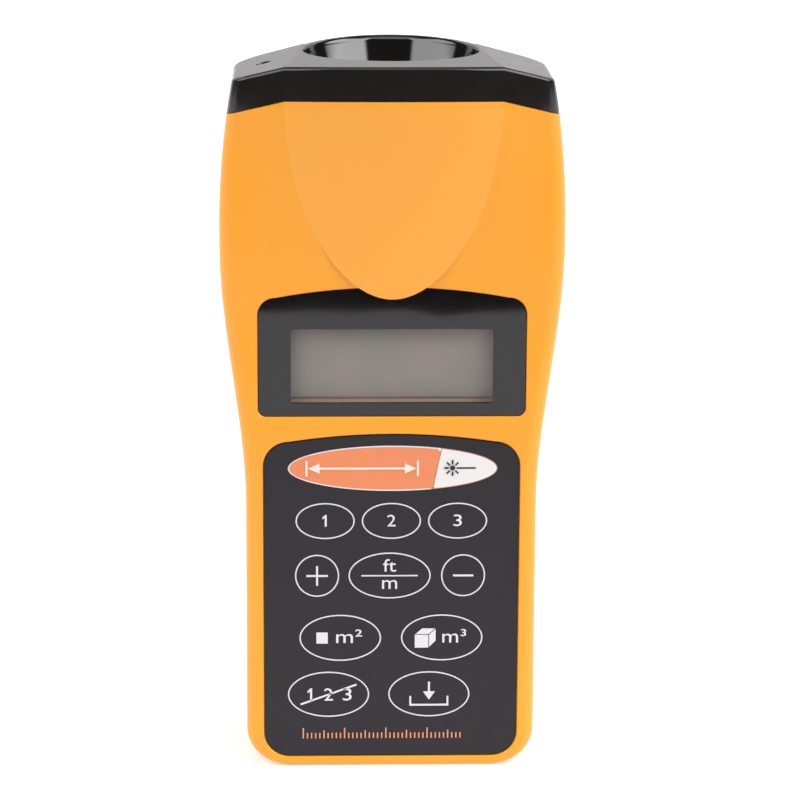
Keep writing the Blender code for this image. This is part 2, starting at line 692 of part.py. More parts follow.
def make_screw(name, place, seat, head_radius, head_height, shank_radius, reach, material):
    """Pan-head screw along Y with a cross recess; it reaches forward from its seat."""
    shank_end = seat - reach
    profile = [(shank_radius * 0.6, shank_end), (shank_radius, shank_end + 0.8), (shank_radius, seat),
               (head_radius, seat), (head_radius, seat + 0.6 * head_height),
               (0.7 * head_radius, seat + head_height)]
    screw = add_part(name, turned_y(profile, place, 16), material)
    arm = 0.62 * head_radius
    slot = 0.16 * head_radius
    x, z = place
    cross = [(slot, slot), (slot, arm), (-slot, arm), (-slot, slot), (-arm, slot), (-arm, -slot),
             (-slot, -slot), (-slot, -arm), (slot, -arm), (slot, -slot), (arm, -slot), (arm, slot)]
    recess = prisms_y([[(x + dx, z + dz) for dx, dz in cross]], seat + 0.45 * head_height, seat + 4.0)
    combine(screw, add_tool(f"{name}_recess", recess), "DIFFERENCE")


def make_screws(materials):
    for number, place in enumerate(SCREW_PLACES, 1):
        make_screw(f"housing_screw_{number}", place, PARTING + SCREW_SEAT + GAP, SCREW_HEAD_RADIUS,
                   SCREW_HEAD_HEIGHT, SCREW_SHANK_RADIUS, SCREW_SEAT + SCREW_REACH, materials["steel"])
    for number, side in enumerate((-1, 1), 1):
        make_screw(f"board_screw_{number}", (side * BOARD_SCREW_X, BOARD_SCREW_Z), BOARD_BACK + GAP,
                   1.9, 1.2, 0.9, BOARD_THICKNESS + 2.6, materials["steel"])


# ---------------------------------------------------------------- display
def window_outline(growth):
    return panel_outline(WINDOW_HALF_WIDTH + growth, WINDOW_LOW - growth, WINDOW_HIGH + growth,
                         1.5 + growth, 3.3 + growth, 2.77)


def make_display(materials):
    window = prisms_y([window_outline(0.0)], WINDOW_FRONT, WINDOW_FRONT + WINDOW_THICKNESS)
    part = add_part("display_window", window, materials["window"])
    combine(part, add_tool("tongue_clearance", tongue_form(GAP)), "DIFFERENCE")
    glass_half = VIEW_HALF_WIDTH + 1.9
    glass_low = VIEW_LOW - 1.8
    glass_high = VIEW_HIGH + 1.8
    add_part("lcd_glass", box((-glass_half, LCD_FRONT, glass_low), (glass_half, LCD_BACK, glass_high)),
             materials["lcd"])
    zebra_high = glass_low + 2.1
    add_part("zebra_strip", box((-glass_half + 1.0, BACKLIGHT_FRONT, glass_low + 0.2),
                                (glass_half - 1.0, BACKLIGHT_BACK, zebra_high)), materials["rubber"])
    add_part("lcd_backlight", box((-glass_half + 0.5, BACKLIGHT_FRONT, zebra_high + GAP),
                                  (glass_half - 0.5, BACKLIGHT_BACK, glass_high - 0.3)), materials["diffuser"])
    frame = add_part("lcd_frame", box((-glass_half - 1.8, LCD_FRONT, glass_low - 1.5),
                                      (glass_half + 1.8, BACKLIGHT_BACK, glass_high + 1.5)), materials["cap"])
    inside = box((-glass_half - GAP, LCD_FRONT - 2.0, glass_low - GAP),
                 (glass_half + GAP, BOARD_BACK, glass_high + GAP))
    combine(frame, add_tool("lcd_frame_inside", inside), "DIFFERENCE")


# ---------------------------------------------------------------- electronics
def make_board(materials):
    narrow = BOARD_HALF_WIDTH_LOW
    wide = BOARD_HALF_WIDTH_HIGH
    outline = [(narrow, BOARD_LOW), (narrow, BOARD_STEP), (wide, BOARD_STEP), (wide, BOARD_HIGH),
               (-wide, BOARD_HIGH), (-wide, BOARD_STEP), (-narrow, BOARD_STEP), (-narrow, BOARD_LOW)]
    board = add_part("main_board", prisms_y([outline], BOARD_FRONT, BOARD_BACK), materials["board"])
    holes = [circle_points((side * BOARD_SCREW_X, BOARD_SCREW_Z), 1.25, 12) for side in (-1, 1)]
    combine(board, add_tool("board_holes", prisms_y(holes, BOARD_FRONT - 1.0, BOARD_BACK + 1.0)), "DIFFERENCE")
    back = BOARD_BACK + GAP
    chips = {
        "microcontroller": ((-7.0, 36.0), (7.0, 46.0), CHIP_HEIGHT, "chip"),
        "amplifier_chip": ((-16.0, 84.0), (-8.0, 89.0), CHIP_HEIGHT, "chip"),
        "step_up_transformer": ((8.0, 80.0), (17.0, 89.0), 7.0, "chip"),
        "crystal": ((-4.0, 77.0), (6.0, 80.5), 3.6, "steel"),
    }
    for name, (low, high, height, finish) in chips.items():
        block = rounded_box((low[0], back, low[1]), (high[0], back + height, high[1]), 0.3)
        add_part(name, block, materials[finish])
    can = [(3.0, back), (3.0, back + 1.2), (2.75, back + 1.6), (3.0, back + 2.0), (3.0, back + 7.6),
           (2.6, back + 8.0)]
    add_part("capacitor", turned_y(can, (-14.0, 76.5), 16), materials["capacitor"])


def make_transducer(materials):
    centre = (0.0, HORN_Y)
    lip = CAN_RADIUS - 1.7
    bore = CAN_RADIUS - CAN_WALL
    can = [(CAN_RADIUS, CAN_LOW), (CAN_RADIUS, CAN_TOP), (lip, CAN_TOP), (lip, CAN_TOP - 0.6),
           (bore, CAN_TOP - 0.6), (bore, CAN_LOW)]
    add_part("transducer_can", turned_ring(can, centre, 24), materials["steel"])
    ring_top = CAN_TOP + 0.8
    ring = [(RING_INNER, COLLAR_LOW), (RING_OUTER, COLLAR_LOW), (RING_OUTER, ring_top), (RING_INNER, ring_top)]
    add_part("isolator_ring", turned_ring(ring, centre, 24), materials["rubber"])
    inside = bore - GAP
    mesh_top = CAN_TOP - 0.6 - GAP
    mesh = add_part("transducer_mesh", turned_z([(inside, mesh_top - 0.4), (inside, mesh_top)], centre, 24),
                    materials["steel"])
    slots = bmesh.new()
    for x in (-3.6, -1.2, 1.2, 3.6):
        reach = 5.4 if abs(x) < 2.0 else 3.8
        corners = ((x - 0.6, HORN_Y - reach), (x + 0.6, HORN_Y - reach), (x + 0.6, HORN_Y + reach),
                   (x - 0.6, HORN_Y + reach))
        add_loft(slots, [[(px, py, z) for px, py in corners] for z in (mesh_top - 2.0, mesh_top + 2.0)])
    combine(mesh, add_tool("mesh_slots", slots), "DIFFERENCE")
    floor_top = CAN_LOW + 2.0
    cone = [(1.0, floor_top + GAP), (1.0, floor_top + 1.6), (4.6, floor_top + 4.2), (4.6, floor_top + 4.7)]
    add_part("transducer_cone", turned_z(cone, centre, 20), materials["steel"])
    base = add_part("transducer_base", turned_z([(inside, CAN_LOW + 0.2), (inside, floor_top)], centre, 24),
                    materials["cap"])
    for side in (-1, 1):
        place = (side * 2.5, HORN_Y)
        pin = turned_z([(0.5, CAN_LOW - 5.0), (0.5, CAN_LOW + 1.0)], place, 8)
        combine(base, add_tool(f"transducer_pin_{side}", pin), "UNION")


def make_laser(materials):
    centre = (LASER_X, LASER_Y)
    ceiling = top_face(LASER_X, LASER_Y) - CAP_TOP_WALL
    window_top = ceiling - 0.9
    add_part("laser_window", turned_z([(2.2, window_top - 0.8), (2.2, window_top)], centre, 16),
             materials["window"])
    top = window_top - 0.8 - GAP
    low = top - LASER_LENGTH
    bore = LASER_RADIUS - 0.7
    barrel = [(LASER_RADIUS, low), (LASER_RADIUS, top), (1.6, top), (1.6, top - 0.8), (bore, top - 0.8),
              (bore, low)]
    add_part("laser_barrel", turned_ring(barrel, centre, 20), materials["brass"])
    lens_radius = bore - GAP
    lens = [(0.5, top - 3.0), (lens_radius, top - 2.4), (lens_radius, top - 1.8), (0.8, top - 1.2)]
    add_part("laser_lens", turned_z(lens, centre, 16), materials["window"])
    board = box((LASER_X - 2.6, LASER_Y - 0.5, low - 5.0), (LASER_X + 2.6, LASER_Y + 0.5, low - GAP))
    add_part("laser_board", board, materials["board"])


# ---------------------------------------------------------------- battery
def make_lead(name, x, material):
    """Insulated lead from the snap connector through the bay's slot to the board."""
    start = SNAP_LOW + SNAP_THICKNESS - 0.9
    route = [(SNAP_FRONT - GAP, start), (BAY_FRONT + 2.0, start), (BAY_FRONT + 0.5, start + 0.3),
             (BAY_FRONT - 0.7, start + 1.4), (BAY_FRONT - 1.1, start + 3.3), (BAY_FRONT - 1.1, start + 5.6),
             (BAY_FRONT - 1.3, start + 7.3), (BOARD_BACK + GAP, start + 8.3)]
    curve = bpy.data.curves.new(name, "CURVE")
    curve.dimensions = "3D"
    curve.bevel_depth = 0.6 * MM
    curve.bevel_resolution = 1
    curve.use_fill_caps = True
    spline = curve.splines.new("POLY")
    spline.points.add(len(route) - 1)
    for point, (y, z) in zip(spline.points, route):
        point.co = (x * MM, y * MM, z * MM, 1.0)
    lead = bpy.data.objects.new(name, curve)
    lead.data.materials.append(material)
    bpy.context.scene.collection.objects.link(lead)


def make_battery(materials):
    half = BATTERY_WIDTH / 2
    body = box((-half, BATTERY_FRONT, BATTERY_LOW), (half, BATTERY_BACK, BATTERY_HIGH))
    upright = [edge for edge in body.edges if abs(edge.verts[0].co.z - edge.verts[1].co.z) > 1.0]
    bmesh.ops.bevel(body, geom=upright, offset=2.0, segments=3, profile=0.5, affect="EDGES")
    add_part("battery", body, materials["battery"])
    terminals = {"battery_positive_terminal": (-6.35, 2.9, 16), "battery_negative_terminal": (6.35, 4.2, 6)}
    cups = bmesh.new()
    for name, (x, radius, sides) in terminals.items():
        profile = [(radius + 0.4, TERMINAL_LOW), (radius + 0.4, TERMINAL_LOW + 0.5),
                   (radius, TERMINAL_LOW + 0.5), (radius, TERMINAL_LOW + 2.5)]
        add_part(name, turned_z(profile, (x, BATTERY_MIDDLE), sides), materials["steel"])
        cup = circle_points((x, BATTERY_MIDDLE), radius + 2.0 * HOLE_GAP, 16)
        add_loft(cups, [[(px, py, z) for px, py in cup] for z in (TERMINAL_LOW, TERMINAL_LOW + 3.0)])
    block = rounded_box((-12.5, SNAP_FRONT, SNAP_LOW),
                        (12.5, SNAP_FRONT + SNAP_DEPTH, SNAP_LOW + SNAP_THICKNESS), 0.6)
    snap = add_part("snap_connector", block, materials["cap"])
    combine(snap, add_tool("snap_cups", cups), "DIFFERENCE")
    make_lead("red_lead", -2.5, materials["red"])
    make_lead("black_lead", 2.5, materials["cap"])


# ---------------------------------------------------------------- the whole meter
def clear_scene():
    for item in list(bpy.data.objects):
        bpy.data.objects.remove(item, do_unlink=True)


def make_materials():
    return {
        "casing": make_material("orange_casing", (0.98, 0.37, 0.035), 0.42),
        "cap": make_material("black_cap", (0.012, 0.011, 0.011), 0.35),
        "film": make_material("keypad_film", (0.038, 0.035, 0.04), 0.55),
        "measure_key": make_material("orange_key", (0.86, 0.28, 0.13), 0.5),
        "laser_key": make_material("pale_key", (0.66, 0.64, 0.63), 0.5),
        "window": make_material("display_window", (0.02, 0.02, 0.022), 0.08),
        "lcd": make_material("lcd_glass", (0.27, 0.24, 0.22), 0.3),
        "diffuser": make_material("backlight_diffuser", (0.8, 0.8, 0.78), 0.5),
        "rubber": make_material("black_rubber", (0.03, 0.03, 0.032), 0.8),
        "board": make_material("circuit_board", (0.02, 0.12, 0.05), 0.5),
        "chip": make_material("chip_plastic", (0.02, 0.02, 0.02), 0.5),
        "capacitor": make_material("capacitor_sleeve", (0.03, 0.04, 0.12), 0.4),
        "steel": make_material("steel", (0.6, 0.6, 0.6), 0.3, 1.0),
        "brass": make_material("brass", (0.75, 0.55, 0.25), 0.3, 1.0),
        "battery": make_material("battery_jacket", (0.05, 0.05, 0.06), 0.4),
        "red": make_material("red_insulation", (0.5, 0.02, 0.02), 0.5),
    }


def main():
    clear_scene()
    materials = make_materials()
    cavity, tongue = casing_tools()
    openings = add_tool("key_openings", prisms_y(key_openings(), FRONT - 5.0, INNER_FRONT + 0.3))
    make_front_housing(materials, cavity, tongue, openings)
    make_rear_housing(materials, cavity)
    make_top_cap(materials, cavity, tongue)
    make_battery_door(materials)
    make_screws(materials)
    make_display(materials)
    make_keypad(materials, openings)
    make_board(materials)
    make_transducer(materials)
    make_laser(materials)
    make_battery(materials)


main()
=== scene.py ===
import math

import bmesh
import bpy
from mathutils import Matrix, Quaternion, Vector


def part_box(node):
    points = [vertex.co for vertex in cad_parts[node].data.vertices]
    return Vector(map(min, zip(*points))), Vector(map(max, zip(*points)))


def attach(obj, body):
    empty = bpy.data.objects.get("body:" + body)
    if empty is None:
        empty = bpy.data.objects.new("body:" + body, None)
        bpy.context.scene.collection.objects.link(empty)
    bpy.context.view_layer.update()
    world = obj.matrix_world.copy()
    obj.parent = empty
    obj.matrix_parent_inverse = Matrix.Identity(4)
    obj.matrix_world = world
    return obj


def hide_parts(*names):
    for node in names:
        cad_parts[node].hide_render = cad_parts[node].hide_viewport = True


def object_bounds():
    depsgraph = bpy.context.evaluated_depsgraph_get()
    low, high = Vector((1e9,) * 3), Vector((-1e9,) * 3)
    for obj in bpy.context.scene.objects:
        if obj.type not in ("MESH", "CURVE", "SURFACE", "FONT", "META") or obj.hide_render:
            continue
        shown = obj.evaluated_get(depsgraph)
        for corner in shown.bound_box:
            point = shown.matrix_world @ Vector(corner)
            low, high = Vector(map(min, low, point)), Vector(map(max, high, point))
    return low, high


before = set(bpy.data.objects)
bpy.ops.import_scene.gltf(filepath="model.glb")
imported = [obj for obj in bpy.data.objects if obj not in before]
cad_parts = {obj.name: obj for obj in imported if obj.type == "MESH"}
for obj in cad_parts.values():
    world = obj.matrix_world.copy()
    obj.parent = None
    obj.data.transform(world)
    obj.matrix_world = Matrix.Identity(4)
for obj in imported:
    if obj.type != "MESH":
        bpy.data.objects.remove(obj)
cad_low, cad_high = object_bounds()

MM = 0.001


def node_box(name):
    """Lowest and highest corner of a CAD node, in millimetres."""
    low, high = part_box(name)
    return low / MM, high / MM


def node_centre(name):
    low, high = node_box(name)
    return (low + high) / 2


# Sizes read from the frame
FILM_BOX = node_box("keypad_film")
WINDOW_BOX = node_box("display_window")
LCD_BOX = node_box("lcd_glass")
DOOR_BOX = node_box("battery_door")
BATTERY_BOX = node_box("battery")
BOARD_BOX = node_box("main_board")
HEIGHT = cad_high.z / MM
FILM_FRONT = FILM_BOX[0].y
FILM_HALF_WIDTH = FILM_BOX[1].x
WINDOW_FRONT = WINDOW_BOX[0].y
WINDOW_HALF_WIDTH = WINDOW_BOX[1].x
HORN_Y = node_centre("transducer_can").y
LASER_CENTRE = node_centre("laser_window")
SCREW_PLACES = [node_centre(f"housing_screw_{number}").xz for number in (1, 2, 3, 4)]

# Casing
FILM_RECESS = 0.35
FRONT = FILM_FRONT - FILM_RECESS
GRIP_HALF_WIDTH = FILM_HALF_WIDTH + 3.5
HEAD_SWELL = 4.65  # how much wider the head is than the grip, on each side
HEAD_TAPER = 3.3  # how much it narrows again at its top
HEAD_FRONT_STEP = 5.3  # how far its front stands out before the grip's
WING_FALL = 2.6  # how far its front falls back beside the tongue
WALL = 2.0
BOTTOM_CORNER = 7.0
BOTTOM_EDGE = 1.2
FRONT_CORNER = 3.2
REAR_CORNER = 6.0
SEAM_GAP = 0.06  # half the gap where two mouldings meet
SEAM_GROOVE = 0.14  # depth of the V along the parting line
HEAD_SWELL_LOW = 52.0
HEAD_SWELL_HIGH = 102.0
HEAD_TAPER_LOW = HEIGHT - 31.8
CAP_BAND = 6.25
CAP_TOP_WALL = 2.2
CAP_EDGE = 0.75  # rounding of the cap's top edge
HEAD_LEAN_LOW = 86.0
HEAD_LEAN_HIGH = HEIGHT - CAP_BAND - 2.4
SHOULDER_X = 18.0  # half width of the nearly level middle of the top face
SHOULDER_SLANT = 0.113  # how fast that fold runs inwards from the front to the back
SHOULDER_SLOPE = 0.265
TOP_CROWN = 0.45  # how far the middle of the top face falls to its folds
RECESS_EDGE = 0.35  # rounding where the film and window recesses meet the front
OUTSIDE = 60.0  # clear of the whole meter, for cutting tools
BELOW = -5.0  # under its base

# Tongue
TONGUE_TIP = 93.0
TONGUE_HALF_WIDTH = 20.15
TONGUE_CROWN = 3.4
TONGUE_TIP_STEP = 0.9

# Horn
HORN_MOUTH = 16.9
HORN_THROAT = 6.4
HORN_DEPTH = 31.8
HORN_WALL = 1.2
HORN_RIM = 1.8  # width of the barrel's top edge around the mouth
HORN_LIP = 0.8  # how far the rounded lip reaches out past the mouth
HORN_LIP_DEPTH = 1.3
LASER_HOLE = 1.35
BARREL_TAPER = 6.2
BARREL_LENGTH = 55.0
THROAT_Z = HEIGHT - HORN_DEPTH
COLLAR_INNER = 10.3
COLLAR_OUTER = 11.6
COLLAR_LOW = THROAT_Z - 11.0

# Film, window and display
FILM_THICKNESS = FILM_BOX[1].y - FILM_BOX[0].y
FILM_FLOOR = FILM_BOX[1].y + 0.3
FILM_GAP = 0.18
WINDOW_FLOOR = WINDOW_BOX[1].y + 0.3
WINDOW_GAP = 0.12
WINDOW_HIGH = 95.04  # top of the whole outline, which the tongue cuts into
VIEW_HALF_WIDTH = 19.1
VIEW_LOW = 72.6
VIEW_HIGH = 86.95

# Keys
KEY_GAP = 0.06  # between a key and its opening in the film
KEY_SEGMENTS = 144
RING_WIDTH = 0.25
SPLIT_BAND = 0.16  # width of the pale key's printed edge
DOME_RADIUS = 3.7
DOME_RISE = 0.09
PLUNGER_RADIUS = 2.0
PLUNGER_TIP = -9.4
INK_FRONT = FILM_FRONT - DOME_RISE - 0.05  # printing stands just above a key's highest point
INK_BACK = FILM_FRONT + 0.02
STROKE = 0.38  # line width of the signs
OVAL_LEAN = Vector((1.6, 7.7)).normalized()  # direction of the line between the two oval keys
OVAL_SPLIT_X = 8.72
SPLIT_GAP = 0.04
MEASURE_PLUNGER = (-6.5, 59.7)
LASER_PLUNGER = (14.1, 59.9)
SMALL_KEYS = ("key_memory_1", "key_memory_2", "key_memory_3", "key_plus", "key_units", "key_minus",
              "key_area", "key_volume", "key_clear", "key_store")

# Back and screws
BACK = DOOR_BOX[1].y - 0.5
DOOR_INNER = DOOR_BOX[0].y
BAY_HALF_WIDTH = DOOR_BOX[1].x - 1.5
BAY_LOW = DOOR_BOX[0].z + 0.6
BAY_HIGH = DOOR_BOX[1].z - 0.6
BAY_FRONT = BATTERY_BOX[0].y - 1.4
SCREW_SEAT = 6.0
SCREW_HEAD = 2.4  # this and the next five are radii
SCREW_HOLE = 1.5
FRONT_BOSS = 3.0
REAR_BOSS = 4.0
BOARD_BOSS = 2.2
BOARD_HOLE = 1.2
DOOR_EDGE = 0.35
RIB_RADIUS = 0.6

# Light and camera. Plain angles are in degrees, and azimuths run from the front to the right.
RIGHT_LIGHT = 5.7
RIGHT_SOFTBOX = (35.0, 100.0)
LEFT_LIGHT = 3.8
LEFT_SOFTBOX = (-100.0, -32.0)
SOFTBOX_HEIGHTS = (16.0, 56.0)
WALL_LIGHT = (0.70, 1.9)  # at the lower and the upper of the two heights below
WALL_LIGHT_HEIGHTS = (10.0, 40.0)
WALL_SIDE = 125.0  # azimuth where the wall behind starts
WALL_TOP = 44.0
TOP_LIGHT = 1.6
TOP_LEAN = math.radians(22.0)  # the top light leans to the front
TOP_SPREAD = math.radians(24.0)
DARK_LIGHT = 0.05
FLOOR_GLOW = 0.38
FLOOR_SIDES = ((-2.5, -0.42), (2.5, -0.42), (2.5, 3.0), (-2.5, 3.0))  # metres
CAMERA_DISTANCE = 0.649  # metres
CAMERA_TURN = math.radians(-1.6)
CAMERA_RISE = math.radians(14.2)
CAMERA_ROLL = math.radians(0.25)

# Boolean steps
JOIN, CUT, KEEP = "UNION", "DIFFERENCE", "INTERSECT"


# ---------------- mesh helpers
def add_loft(bm, rings):
    """Adds a closed surface through rings that hold the same number of points."""
    loops = [[bm.verts.new(point) for point in ring] for ring in rings]
    count = len(loops[0])
    for lower, upper in zip(loops, loops[1:]):
        for i in range(count):
            j = (i + 1) % count
            bm.faces.new((lower[i], lower[j], upper[j], upper[i]))
    bm.faces.new(loops[0])
    bm.faces.new(loops[-1])


def loft(rings):
    bm = bmesh.new()
    add_loft(bm, rings)
    return bm


def at_y(points, y):
    """Ring at one depth, from (x, z) points."""
    return [(x, y, z) for x, z in points]


def prisms_y(outlines, y_low, y_high):
    """One closed solid for each outline of (x, z) points, drawn out along Y."""
    bm = bmesh.new()
    for outline in outlines:
        add_loft(bm, [at_y(outline, y) for y in (y_low, y_high)])
    return bm


def box(low, high):
    corners = ((low[0], low[2]), (high[0], low[2]), (high[0], high[2]), (low[0], high[2]))
    return prisms_y([corners], low[1], high[1])


def bevelled_mesh(name, low, high, offset, segments):
    bm = box(low, high)
    bmesh.ops.bevel(bm, geom=bm.edges, offset=offset, segments=segments, affect="EDGES")
    return scaled_mesh(name, bm)


def ellipse_points(ellipse, growth=0.0, segments=128):
    """Points around an ellipse that is given by its centre and half sizes."""
    x, z, wide, tall = ellipse
    angles = [2 * math.pi * i / segments for i in range(segments)]
    return [(x + (wide + growth) * math.cos(a), z + (tall + growth) * math.sin(a)) for a in angles]


def circle_points(centre, radius, segments):
    return ellipse_points((*centre, radius, radius), 0.0, segments)


def turned_z(profile, centre, segments):
    """Solid turned about an axis along Z, from (radius, z) points."""
    return loft([[(x, y, z) for x, y in circle_points(centre, radius, segments)] for radius, z in profile])


def turned_y(bm, profile, centre, segments=40):
    """Adds a solid turned about an axis along Y, from (radius, y) points."""
    add_loft(bm, [at_y(circle_points(centre, radius, segments), y) for radius, y in profile])


def rod_y(bm, radius, y_low, y_high, centre, segments=40):
    turned_y(bm, [(radius, y_low), (radius, y_high)], centre, segments)


def arc(centre, radius, start, end, steps):
    """Points on an arc between two angles in degrees."""
    points = []
    for i in range(steps + 1):
        angle = math.radians(start + (end - start) * i / steps)
        points.append((centre[0] + radius * math.cos(angle), centre[1] + radius * math.sin(angle)))
    return points


def scaled_mesh(name, bm):
    bmesh.ops.recalc_face_normals(bm, faces=bm.faces)
    bmesh.ops.scale(bm, verts=bm.verts, vec=(MM, MM, MM))
    mesh = bpy.data.meshes.new(name)
    bm.to_mesh(mesh)
    bm.free()
    return mesh


def make_object(name, mesh):
    made = bpy.data.objects.new(name, mesh)
    bpy.context.scene.collection.objects.link(made)
    return made


def evaluated_mesh(owner):
    """Mesh of an object after its modifiers; the object is then removed."""
    bpy.context.view_layer.update()
    mesh = bpy.data.meshes.new_from_object(owner.evaluated_get(bpy.context.evaluated_depsgraph_get()))
    bpy.data.objects.remove(owner, do_unlink=True)
    return mesh


def solid_from(name, bm, steps):
    """Mesh of a solid after a list of (operation, tool) Boolean steps; the tools are used up."""
    part = make_object(name, scaled_mesh(name, bm))
    tools = []
    for operation, tool_bm in steps:
        tools.append(make_object(f"{name}_tool", scaled_mesh(f"{name}_tool", tool_bm)))
        modifier = part.modifiers.new(operation, "BOOLEAN")
        modifier.solver = "EXACT"
        modifier.operation = operation
        modifier.object = tools[-1]
    mesh = evaluated_mesh(part)
    for tool in tools:
        bpy.data.objects.remove(tool, do_unlink=True)
    return mesh


def finish_piece(name, mesh, finishes, body="casing", replaces=(), sharp=30.0):
    """Turns a mesh into a shown piece that rides on a CAD body; finishes are names in MATERIALS."""
    mesh.name = name
    indices = [face.material_index for face in mesh.polygons]
    mesh.materials.clear()
    for finish in finishes:
        mesh.materials.append(MATERIALS[finish])
    mesh.polygons.foreach_set("material_index", indices)
    mesh.shade_smooth()
    mesh.set_sharp_from_angle(angle=math.radians(sharp))
    piece = make_object(name, mesh)
    normals = piece.modifiers.new("normals", "WEIGHTED_NORMAL")  # keeps flat areas flat by a rounding
    normals.keep_sharp = True
    normals.weight = 70
    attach(piece, body)
    if replaces:
        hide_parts(*replaces)


def paint_faces(mesh, index, chosen):
    """Gives a material index to the faces whose centre, in millimetres, is chosen."""
    for face in mesh.polygons:
        if chosen(face.center / MM, face.normal):
            face.material_index = index


# ---------------- material helpers
def start_material(name, colour, roughness, metallic=0.0, **sockets):
    """A Principled material; extra sockets are given by name with underscores for spaces."""
    material = bpy.data.materials.new(name)
    material.use_nodes = True
    shader = material.node_tree.nodes["Principled BSDF"]
    shader.inputs["Base Color"].default_value = (*colour, 1.0)
    shader.inputs["Roughness"].default_value = roughness
    shader.inputs["Metallic"].default_value = metallic
    for socket, value in sockets.items():
        shader.inputs[socket.replace("_", " ")].default_value = value
    return material


def add_node(owner, kind, inputs=(), **settings):
    """Adds a shader node to a material or world; inputs are (socket, value or output) pairs."""
    tree = owner.node_tree
    made = tree.nodes.new("ShaderNode" + kind)
    for key, value in settings.items():
        setattr(made, key, value)
    for socket, value in inputs:
        if isinstance(value, bpy.types.NodeSocket):
            tree.links.new(value, made.inputs[socket])
        else:
            made.inputs[socket].default_value = value
    return made


def link_shader(material, socket, output):
    shader = material.node_tree.nodes["Principled BSDF"]
    material.node_tree.links.new(output, shader.inputs[socket])


def speckle(material, size, detail=3.0, stretch=(1.0, 1.0, 1.0)):
    """Noise whose blotches are about size millimetres across, longer where stretch is over 1."""
    place = add_node(material, "TexCoord").outputs["Object"]
    scale = [1.0 / (size * MM * share) for share in stretch]
    mapped = add_node(material, "Mapping", [("Vector", place), ("Scale", scale)])
    noise = add_node(material, "TexNoise", [("Vector", mapped.outputs["Vector"]), ("Scale", 1.0),
                                            ("Detail", detail)])
    return noise.outputs["Fac"]


def vary_colour(material, factor, dark, light):
    mix = add_node(material, "Mix", [(0, factor), (6, (*dark, 1.0)), (7, (*light, 1.0))], data_type="RGBA")
    link_shader(material, "Base Color", mix.outputs[2])


def vary_roughness(material, factor, low, high):
    scale = add_node(material, "MapRange", [("Value", factor), ("From Min", 0.3), ("From Max", 0.7),
                                            ("To Min", low), ("To Max", high)])
    link_shader(material, "Roughness", scale.outputs["Result"])


def emboss(material, height, depth):
    """Bump whose full height is depth millimetres."""
    bump = add_node(material, "Bump", [("Height", height), ("Distance", depth * MM), ("Strength", 1.0)])
    link_shader(material, "Normal", bump.outputs["Normal"])


def shaded(colour, share):
    return tuple(min(1.0, channel * share) for channel in colour)


def moulded(name, colour, roughness, grain=0.25, depth=0.012, mottle=0.03, metallic=0.0, **sockets):
    """Moulded or cast surface: faint mottling of colour and gloss, and a fine spark-eroded grain."""
    material = start_material(name, colour, roughness, metallic, **sockets)
    cloud = speckle(material, 9.0, 4.0)
    vary_colour(material, cloud, shaded(colour, 1.0 - mottle), shaded(colour, 1.0 + mottle))
    vary_roughness(material, speckle(material, 2.5), roughness - 0.03, roughness + 0.03)
    emboss(material, speckle(material, grain, 2.0), depth)
    return material


def brushed(name, colour, roughness):
    """Metal with fine drawing lines and a slightly uneven gloss."""
    material = start_material(name, colour, roughness, 1.0)
    lines = speckle(material, 0.12, 2.0, (1.0, 1.0, 14.0))
    vary_colour(material, speckle(material, 1.6), shaded(colour, 0.88), shaded(colour, 1.08))
    vary_roughness(material, lines, roughness - 0.07, roughness + 0.12)
    emboss(material, lines, 0.006)
    return material


def make_lens_material():
    """Black-printed acrylic: polished, with the slight waviness of a moulded plate."""
    material = start_material("printed_window", (0.006, 0.005, 0.0055), 0.035, IOR=1.5,
                              Specular_IOR_Level=0.5)
    vary_colour(material, speckle(material, 6.0), (0.0056, 0.0046, 0.0050), (0.0066, 0.0054, 0.0060))
    vary_roughness(material, speckle(material, 1.2), 0.03, 0.045)
    emboss(material, speckle(material, 26.0, 1.0, (1.0, 1.0, 0.9)), 0.09)
    return material


def make_pane_material():
    """Clear part of the window, slightly smoked."""
    material = start_material("clear_window", (0.04, 0.04, 0.045), 0.04, Alpha=0.14)
    vary_roughness(material, speckle(material, 1.2), 0.03, 0.05)
    return material


def make_lcd_material():
    """Polariser of the unlit display: grey with the faintest warm and green clouds."""
    material = start_material("lcd_polariser", (0.26, 0.24, 0.22), 0.42, Specular_IOR_Level=0.3)
    clouds = add_node(material, "ValToRGB", [("Fac", speckle(material, 7.0, 2.0))])
    stops = ((0.38, (0.345, 0.323, 0.283, 1.0)), (0.62, (0.383, 0.332, 0.300, 1.0)))
    for element, (position, colour) in zip(clouds.color_ramp.elements, stops):
        element.position = position
        element.color = colour
    link_shader(material, "Base Color", clouds.outputs["Color"])
    emboss(material, speckle(material, 0.12, 1.0), 0.004)
    return material


def make_board_material():
    """Green solder mask over copper tracks and pads."""
    material = start_material("circuit_board", (0.01, 0.10, 0.035), 0.35)
    place = add_node(material, "TexCoord").outputs["Object"]
    turned = add_node(material, "Mapping", [("Vector", place), ("Rotation", (math.radians(90.0), 0.0, 0.0)),
                                            ("Scale", (1.0 / MM,) * 3)])
    tracks = add_node(material, "TexBrick", [("Vector", turned.outputs["Vector"]), ("Scale", 0.45),
                                             ("Mortar Size", 0.035), ("Mortar Smooth", 0.2),
                                             ("Color1", (0.008, 0.085, 0.03, 1.0)),
                                             ("Color2", (0.010, 0.105, 0.038, 1.0)),
                                             ("Mortar", (0.05, 0.21, 0.08, 1.0))])
    link_shader(material, "Base Color", tracks.outputs["Color"])
    emboss(material, tracks.outputs["Fac"], 0.035)
    return material


